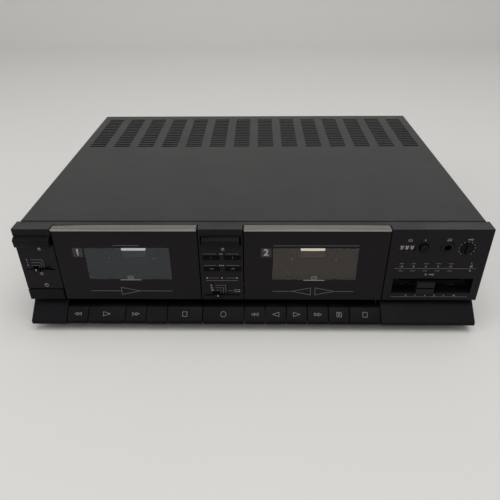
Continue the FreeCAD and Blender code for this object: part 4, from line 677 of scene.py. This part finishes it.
print_sign(0.1640, 0.0488, outline(20, 0.0018, 0.0018, SIGN_LINE),
           outline(3, 0.0052, 0.0018, SIGN_LINE, TO_LEFT, 0.0050))
print_rule(0.1718, 0.0750, 0.0740)
for x, text in zip((0.149, 0.158, 0.1675, 0.1765, 0.1855, 0.195), ("2", "4", "6", "8", "9", "10")):
    print_sign(x, 0.0736, lettering(text, 0.0024))
DOT_RING = 0.0073
low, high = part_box("volume_knob")
knob_x, knob_drop = (low.x + high.x) / 2, top - (low.z + high.z) / 2
for step in range(11):
    turn = math.radians(-140 + 28 * step)
    print_sign(knob_x + DOT_RING * math.sin(turn), knob_drop - DOT_RING * math.cos(turn),
               outline(12, 0.0007, 0.0007, None))
ink = moulded("printed_ink", (0.34, 0.33, 0.32), gloss=(0.5, 0.6), scale=900.0, rub=1.0, edge=0.00005,
              dusty=0.0)
faint_ink = moulded("faint_ink", (0.17, 0.165, 0.16), gloss=(0.5, 0.6), scale=900.0, rub=1.0, edge=0.00005,
                    dusty=0.0)
for name, shapes, finish in (("front_signs", marks, ink), ("front_lines", rules, faint_ink)):
    printed = one_piece(name, shapes)
    finish.put_on(printed)
    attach(printed, "case")

# The level lamps: two rows of small windows over and under the scale's line, four greenish and one
# reddish in each. They are dark tinted bars that stand a little proud of the face, and none is lit.
LAMP_WIDE, LAMP_HIGH = 0.0042, 0.0010
lamps = {"green": [], "red": []}
for column, x in enumerate(LAMP_PLACES):
    for drop in (0.0365, 0.0446):
        lamp = block("lamp", (x - LAMP_WIDE / 2, face - 0.0002, top - drop - LAMP_HIGH / 2),
                     (x + LAMP_WIDE / 2, face + 0.0006, top - drop + LAMP_HIGH / 2))
        sink(lamp, FORWARD, (0.0002, (0, -0.00008, 0)))
        round_edges(lamp, 0.0001, 2)
        lamps["red" if column > 3 else "green"].append(lamp)
for colour, tint in (("green", (0.050, 0.058, 0.050)), ("red", (0.070, 0.046, 0.044))):
    row = one_piece(f"level_lamps_{colour}", lamps[colour])
    moulded(f"lamp_{colour}", tint, gloss=(0.15, 0.25), rub=1.0, edge=0.00015, dusty=0.0).put_on(row)
    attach(row, "case")

# The windows: smoked clear acrylic panes, glued into the doors from behind. The right one is painted a
# lighter, warmer grey than the left, and their reflections are tinted warm on the right and cold on the
# left, as painted light.
# They mirror the pale floor, and the spindles and the painted glow of the plates show through.
for deck, smoke_and_painted_light, painted_reflection_tint in (("a", (0.23, 0.25, 0.28, 1), (0.86, 0.92, 1.0, 1)),
                           ("b", (0.34, 0.32, 0.29, 1), (1.0, 0.93, 0.87, 1))):
    pane = Finish(f"window_clear_{deck}", Base_Color=smoke_and_painted_light, IOR=1.54, Transmission_Weight=1.0,
                  Specular_Tint=painted_reflection_tint)
    smear = noise(pane.tree, pane.place, 35.0, 4.0)
    pane.feed("Roughness", span(pane.tree, smear, 0.4, 0.7, (0.0, 0.03)))
    pane.put_on(nodes[f"window_{deck}"])


# The doors' trims: a bright bent strip that caps each door's upper edge and turns down in front.
# The doors also carry a number on a grey plate by the window, a line above it, a cassette's outline
# at its lower edge, and an arrow line below that shows the tape's way.
def score(piece, place, way):
    """Adds a line of edges round a piece where a plane cuts it."""
    choose(piece, "VERT", lambda point: True)
    bpy.ops.mesh.bisect(plane_co=place, plane_no=way)
    done()


DOOR_WIDTH, HINGE_PIN = 0.1325, 0.0032
LIP, TRIM_GAP, TRIM_SHEET, TRIM_RISE, TRIM_DEPTH, TRIM_TURN = 0.0010, 0.0003, 0.0003, 0.0004, 0.0073, 0.0015
BADGE_AWAY, BADGE_WIDTH, BADGE_HEIGHT, BADGE_DROP = 0.0036, 0.0094, 0.0098, 0.0249
ARROW_LINE, ARROW_LONG, ARROW_HIGH = 0.00034, 0.0190, 0.0088
chrome = metal("trim_chrome", (0.325, 0.31, 0.29), gloss=(0.12, 0.22), along=8.0, across=1400.0)
badge_grey = moulded("badge_grey", (0.038, 0.036, 0.039), gloss=(0.4, 0.5), edge=0.00005, dusty=0.0,
                     Specular_IOR_Level=0.2)
for deck, digit, heading_width, arrows, lines in (
        ("a", "1", 0.024, ((TO_RIGHT, -0.0014),), ((0.0296, -0.0257), (0.0306, 0.0234))),
        ("b", "2", 0.078, ((TO_LEFT, -0.0119), (TO_RIGHT, 0.0111)), ((0.0180, -0.0304), (0.0180, 0.0298)))):
    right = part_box(f"door_{deck}")[1].x - HINGE_PIN
    left = right - DOOR_WIDTH
    middle = (left + right) / 2
    trim = block(f"door_trim_{deck}", (left + TRIM_GAP, face - LIP - TRIM_SHEET, top),
                 (right - TRIM_GAP, face + TRIM_DEPTH, top + TRIM_RISE))
    score(trim, (0, face - LIP, 0), (0, 1, 0))
    choose(trim, "FACE", lambda middle, normal: normal.z < -0.9 and middle.y < face - LIP)
    extrude((0, 0, -TRIM_TURN))
    done()
    round_edges(trim, 0.00012, 2)
    chrome.put_on(trim)
    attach(trim, f"door_{deck}")
    badge_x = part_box(f"window_{deck}")[0].x - BADGE_AWAY
    plate = lay(one_piece(f"number_plate_{deck}", [stroke(BADGE_WIDTH, BADGE_HEIGHT)]), badge_x, ink_plane,
                top - BADGE_DROP, UPRIGHT)
    number = lay(one_piece(f"deck_number_{deck}", [lettering(digit, 0.0096, 0.03)]), badge_x,
                 ink_plane - 0.00004, top - BADGE_DROP, UPRIGHT)
    shapes = [outline(3, ARROW_LONG, ARROW_HIGH, ARROW_LINE, turn, x) for turn, x in arrows]
    shapes += [stroke(length, ARROW_LINE, x) for length, x in lines]
    arrow = lay(one_piece(f"tape_arrow_{deck}", shapes), middle, ink_plane, top - 0.0690, UPRIGHT)
    heading = lay(one_piece(f"heading_line_{deck}", [stroke(heading_width, 0.0003)]), middle, ink_plane,
                  top - 0.0172, UPRIGHT)
    shapes = [outline(4, 0.0052, 0.0034, SIGN_LINE, SQUARE), stroke(0.0200, 0.0006, 0, -0.0028)]
    shapes += [outline(16, 0.0010, 0.0010, 0.0002, 0, side * 0.0012) for side in (-1, 1)]
    small = lay(one_piece(f"cassette_mark_{deck}", shapes), middle, ink_plane - 0.00003, top - 0.0530,
                UPRIGHT)
    for piece, finish in ((plate, badge_grey), (number, ink), (heading, faint_ink), (arrow, faint_ink),
                          (small, ink)):
        finish.put_on(piece)
        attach(piece, f"door_{deck}")


# The transport keys: hollow slanted caps in black plastic on levers that turn on one steel shaft.
# Each cap is a block whose upper front is drawn back, with a lip along its foot. Its sign is printed.
def shift(piece, test, way):
    """Moves the points that pass the test."""
    choose(piece, "VERT", test)
    bpy.ops.transform.translate(value=way)
    done()


def pierce(piece, axis, rim):
    """Joins the two faces that look along an axis by a hole, with a rim left round it."""
    choose(piece, "FACE", lambda middle, normal: abs(normal[axis]) > 0.9)
    bpy.ops.mesh.inset(thickness=rim, use_individual=True)
    bpy.ops.mesh.bridge_edge_loops()
    done()


KEY_TOP, KEY_BREAK, KEY_FOOT = top - 0.0882, top - 0.0974, top - 0.1007
SLOPE_RISE, SLOPE_DEPTH = 0.0092, 0.0111
KEY_LEAN = math.atan2(SLOPE_RISE, SLOPE_DEPTH)
KEY_LINE, SIGN_REACH, SIGN_DROP, INK_LIFT = 0.00024, 0.00618, 0.0928, 0.00004
LEVER_HALF, SHAFT_DEPTH, SHAFT_DROP = 0.0035, 0.024, 0.093
REWIND = [(3, 0.0036, 0.0032, TO_LEFT, x) for x in (-0.0018, 0.0018)]
FORWARD_SIGN = [(3, 0.0036, 0.0032, TO_RIGHT, x) for x in (-0.0018, 0.0018)]
PAUSE = [(4, 0.0020, 0.0048, SQUARE, x) for x in (-0.0014, 0.0014)]
KEYS = {
    "rewind_a": REWIND,
    "play_a": [(3, 0.0072, 0.0045, TO_RIGHT, 0)],
    "forward_a": FORWARD_SIGN,
    "stop_a": [(4, 0.0044, 0.0048, SQUARE, 0)],
    "record_key": [(40, 0.0055, 0.0056, 0, 0)],
    "rewind_b": REWIND,
    "reverse_play_b": [(3, 0.0066, 0.0046, TO_LEFT, 0)],
    "play_b": [(3, 0.0068, 0.0046, TO_RIGHT, 0)],
    "forward_b": FORWARD_SIGN,
    "pause_b": PAUSE,
    "stop_b": [(4, 0.0045, 0.0050, SQUARE, 0)],
}
key_plastic = moulded("key_plastic", (0.0032, 0.0024, 0.0035), gloss=(0.44, 0.54), edge=0.0005, dusty=0.02,
                      Specular_IOR_Level=0.09)
key_plastic.put_on(nodes["key_bed"])
for key, signs in KEYS.items():
    low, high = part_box(key)
    middle = (low.x + high.x) / 2
    cap = block("cap", (low.x, low.y, KEY_FOOT), (high.x, face + 0.006, KEY_TOP))
    score(cap, (0, 0, KEY_BREAK), (0, 0, 1))
    shift(cap, lambda point: point.y < face - 0.01 and point.z > KEY_BREAK + 0.001,
          (0, face - 0.0006 - low.y, 0))
    shift(cap, lambda point: point.y < face - 0.01 and abs(point.z - KEY_BREAK) < 0.001, (0, 0.0004, 0))
    sink(cap, DOWN, (0.0016, (0, 0, 0.0024)))
    round_edges(cap, 0.00045)
    lever = block("lever", (middle - LEVER_HALF, face + 0.002, top - 0.0955),
                  (middle + LEVER_HALF, face + SHAFT_DEPTH, top - 0.0905))
    round_edges(lever, 0.0003, 2)
    boss = disc("boss", 0.0035, (middle - LEVER_HALF, face + SHAFT_DEPTH, top - SHAFT_DROP), "X",
                2 * LEVER_HALF)
    pierce(boss, 0, 0.0019)
    round_edges(boss, 0.0002, 2)
    whole = one_piece(f"{key}_cap", [cap, lever, boss])
    key_plastic.put_on(whole)
    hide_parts(key)
    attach(whole, key)
    shapes = [outline(sides, width, height, KEY_LINE, turn, x) for sides, width, height, turn, x in signs]
    printed = lay(one_piece(f"{key}_sign", shapes), middle, face - SIGN_REACH, top - SIGN_DROP, KEY_LEAN)
    for point in printed.data.vertices:
        point.co += Vector((0, -math.sin(KEY_LEAN), math.cos(KEY_LEAN))) * INK_LIFT
    ink.put_on(printed)
    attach(printed, key)

# The eject and power keys: two wedges and a flat bar that a fingertip pushes straight in. A wedge's
# upper front is drawn back for the finger, and that slope is painted as black as the tray, as shade.
control_plastic = moulded("control_plastic", (0.0044, 0.0034, 0.0048), gloss=(0.34, 0.44), dusty=0.03,
                          Specular_IOR_Level=0.10)
for name in ("eject_key_a", "eject_key_b"):
    low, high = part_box(name)
    cap = block("cap", low, (high.x, face + 0.004, high.z))
    score(cap, (0, 0, high.z - 0.0025), (0, 0, 1))
    shift(cap, lambda point: point.y < face - 0.003 and point.z > high.z - 0.001,
          (0, face - 0.0007 - low.y, 0))
    shift(cap, lambda point: point.y < face - 0.003 and point.z < low.z + 0.001, (0, 0.0007, 0))
    round_edges(cap, 0.0005)
    middle, height = (low.x + high.x) / 2, (low.z + high.z) / 2
    stem = block("stem", (middle - 0.004, face + 0.003, height - 0.002),
                 (middle + 0.004, face + 0.014, height + 0.002))
    round_edges(stem, 0.0003, 2)
    whole = one_piece(f"{name}_cap", [cap, stem])
    control_plastic.put_on(whole)
    # The slope's faces get the painted shade.
    whole.data.materials.append(painted_shade_black.material)
    for facet in whole.data.polygons:
        slope = facet.normal.y < -0.2 and facet.normal.z > 0.2 and facet.area > 0.00004
        facet.material_index = 1 if slope else 0
    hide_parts(name)
    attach(whole, name)
for name in ("power_key", "timer_switch", "reverse_switch", "volume_knob", "counter_reset"):
    control_plastic.put_on(nodes[name])

# The four push buttons are painted darker, for the shade under their ledges, with a word or a number printed
# near each upper edge. Each slide switch has a white tick moulded in its grip, and each level slider is
# paler and has seven ribs.
button_painted_shade = moulded("button_painted_shade", (0.0020, 0.0018, 0.0021), gloss=(0.35, 0.45), dusty=0.02,
                       Specular_IOR_Level=0.06)
for name, text in (("upper_left_button", "1"), ("upper_right_button", "2"), ("lower_left_button", "ON"),
                   ("lower_right_button", "OFF")):
    button_painted_shade.put_on(nodes[name])
    low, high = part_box(name)
    word = lay(one_piece(f"{name}_word", [lettering(text, 0.0020)]), (low.x + high.x) / 2, low.y - 0.00005,
               high.z - 0.0014, UPRIGHT)
    faint_ink.put_on(word)
    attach(word, name)
for name in ("timer_switch", "reverse_switch"):
    low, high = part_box(name)
    tick = lay(one_piece(f"{name}_tick", [stroke(0.0005, 0.0020)]), (low.x + high.x) / 2, low.y - 0.00005,
               (low.z + high.z) / 2 + 0.0005, UPRIGHT)
    white_tick_and_tip_glint.put_on(tick)
    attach(tick, name)
slider_grey = moulded("slider_grey", (0.0090, 0.0083, 0.0094), gloss=(0.35, 0.45), dusty=0.05,
                      Specular_IOR_Level=0.16)
RIBS, RIB_HALF = 7, 0.00035
for name in ("level_slider_upper", "level_slider_lower"):
    low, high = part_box(name)
    ribs = []
    for number in range(RIBS):
        x = low.x + (high.x - low.x) * (number + 1) / (RIBS + 1)
        rib = block("rib", (x - RIB_HALF, low.y - 0.00025, low.z + 0.0006),
                    (x + RIB_HALF, low.y + 0.0004, high.z - 0.0006))
        round_edges(rib, 0.0001, 2)
        ribs.append(rib)
    ribs = one_piece(f"{name}_ribs", ribs)
    slider_grey.put_on(nodes[name], ribs)
    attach(ribs, name)

# The counter: three dark drums with white numbers round them, seen through a slot in the face.
# At rest each drum stands 12 degrees off its number, as it would after stopping between two.
drum_black = moulded("drum_black", (0.066, 0.058, 0.050), gloss=(0.4, 0.5), dusty=0.02)
drum_ink = moulded("drum_numbers", (0.72, 0.70, 0.66), gloss=(0.5, 0.6), rub=1.0, edge=0.00005, dusty=0.0)
for name in ("counter_hundreds", "counter_tens", "counter_units"):
    drum_black.put_on(nodes[name])
    low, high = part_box(name)
    axle = [(a + b) / 2 for a, b in zip(low, high)]
    radius = (high.z - low.z) / 2
    digits = []
    for digit in range(10):
        figure = lay(lettering(str(digit), 0.0055, 0.02), axle[0], axle[1] - radius - 0.00002, axle[2],
                     UPRIGHT)
        choose(figure, "VERT", lambda point: True)
        bpy.ops.transform.rotate(value=math.radians(36 * digit + 12), orient_axis="X", center_override=axle)
        done()
        digits.append(figure)
    ring = one_piece(f"{name}_digits", digits)
    drum_ink.put_on(ring)
    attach(ring, name)

# The sockets: a black headphone jack, four phono jacks at the back whose plated barrels end in a
# coloured insulator, white for left and red for right, and a mains inlet with two plated pins.
REAR_PLATE = 0.16565
COLUMNS, WHITE_ROW, RED_ROW = (-0.145, -0.129), 0.066, 0.050
PIN_APART, PIN_REACH = 0.0043, 0.00125
socket_black = moulded("socket_black", (0.0035, 0.0033, 0.0036), gloss=(0.3, 0.4), dusty=0.06,
                       Specular_IOR_Level=0.15)
sockets, inlet = nodes["rear_sockets"], nodes["mains_inlet"]
socket_black.put_on(nodes["headphone_socket"], inlet, sockets)
jack_white = moulded("jack_white", (0.62, 0.61, 0.57), gloss=(0.3, 0.4), rub=1.0, dusty=0.05)
jack_red = moulded("jack_red", (0.30, 0.018, 0.014), gloss=(0.3, 0.4), rub=1.0, dusty=0.05)
for finish in (bright, jack_white, jack_red):
    sockets.data.materials.append(finish.material)
inlet.data.materials.append(bright.material)
for facet in sockets.data.polygons:
    x, y, z = facet.center
    if y > REAR_PLATE + 0.0003:
        off = min(math.hypot(x - column, z - row) for column in COLUMNS for row in (WHITE_ROW, RED_ROW))
        if facet.normal.y > 0.9:
            facet.material_index = 2 if z > (WHITE_ROW + RED_ROW) / 2 else 3
        elif off > 0.003:
            facet.material_index = 1
low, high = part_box("mains_inlet")
middle, height = (low.x + high.x) / 2, (low.z + high.z) / 2
for facet in inlet.data.polygons:
    x, y, z = facet.center
    if min(math.hypot(x - middle - side * PIN_APART, z - height) for side in (-1, 1)) < PIN_REACH:
        facet.material_index = 1
for word, finish, row in (("white", jack_white, WHITE_ROW), ("red", jack_red, RED_ROW)):
    collars = []
    for column in COLUMNS:
        collar = disc("collar", 0.0060, (column, REAR_PLATE, row), "Y", 0.0014)
        pierce(collar, 1, 0.0018)
        round_edges(collar, 0.0003, 2)
        collars.append(collar)
    pair = one_piece(f"jack_collars_{word}", collars)
    finish.put_on(pair)
    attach(pair, "case")
rear_marks = []
for x, z, text in ((COLUMNS[0], 0.0737, "OUT"), (COLUMNS[1], 0.0737, "IN"), (-0.137, WHITE_ROW, "L"),
                   (-0.137, RED_ROW, "R")):
    rear_marks.append(lay(lettering(text, 0.0030), x, REAR_PLATE + 0.00005, z, UPRIGHT, math.pi))
rear_words = one_piece("rear_words", rear_marks)
ink.put_on(rear_words)
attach(rear_words, "case")


# The case screws: cross-slotted pan heads, blackened on the cover's sides and plated on the back,
# where six hold the rear wall and two smaller ones the socket plate.
def pan_screw(name, radius, place, out):
    """A domed head with a crossed slot, half sunk in a surface that faces left, right or back."""
    head = disc(name, radius, (0, 0, 0), "Z", radius * 0.5, 32)
    taper(head, UP, (0.82, 0.82), (0, 0, 0))
    round_edges(head, radius * 0.16)
    slots = [block("slot", (-a, -b, radius * 0.2), (a, b, radius)) for a, b in
             ((radius * 0.55, radius * 0.12), (radius * 0.12, radius * 0.55))]
    for cutter in slots:
        taper(cutter, DOWN, (0.8, 0.8), (0, 0, 0))
        hold(head)
        cross = head.modifiers.new("cross", "BOOLEAN")
        cross.object, cross.operation, cross.solver = cutter, "DIFFERENCE", "EXACT"
        bpy.ops.object.modifier_apply(modifier="cross")
        bpy.data.objects.remove(cutter)
    head.rotation_euler = Vector(out).to_track_quat("Z", "Y").to_euler()
    head.location = Vector(place) - Vector(out) * radius * 0.25
    freeze()
    bpy.ops.object.shade_smooth_by_angle(angle=math.radians(40))
    return head


low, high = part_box("top_cover")
side_screws = [pan_screw("side_screw", 0.0036, (x, y, 0.020), (out, 0, 0))
               for x, out in ((low.x, -1), (high.x, 1)) for y in (-0.105, 0.125)]
rear_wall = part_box("chassis")[1].y
rear_screws = [pan_screw("rear_screw", 0.0034, (x, rear_wall, z), (0, 1, 0)) for x, z in
               ((-0.195, 0.098), (-0.065, 0.098), (0.065, 0.098), (0.195, 0.098), (-0.195, 0.016),
                (0.195, 0.016))]
rear_screws += [pan_screw("plate_screw", 0.0024, (x, REAR_PLATE, 0.0430), (0, 1, 0))
                for x in (-0.1565, -0.1175)]
black_screw = metal("blackened_steel", (0.035, 0.035, 0.037), gloss=(0.3, 0.42))
for name, screws, finish, slot in (("cover_screws", side_screws, black_screw, "cover_paint"),
                                   ("rear_screws", rear_screws, bright, "bright_steel")):
    group = one_piece(name, screws)
    finish.put_on(group)
    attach(group, "case")

# The cover: painted sheet steel over the top and both sides, with rows of punched slots behind.
# The paint is a dark grey satin with a faint orange peel, rubbed a little along the bends.
cover = moulded("cover_paint", (0.026, 0.026, 0.0265), gloss=(0.38, 0.46), scale=600.0, edge=0.0008, rub=1.6,
                dusty=0.02, depth=0.00004, Specular_IOR_Level=0.3)
cover.put_on(nodes["top_cover"])

# The chassis once more: its front flange, which shows between the doors and the keys, carries the
# same paint as the cover.
chassis = nodes["chassis"]
chassis.data.materials.append(cover.material)
for facet in chassis.data.polygons:
    facet.material_index = 1 if facet.center.y < face + 0.020 and facet.center.z > 0.010 else 0
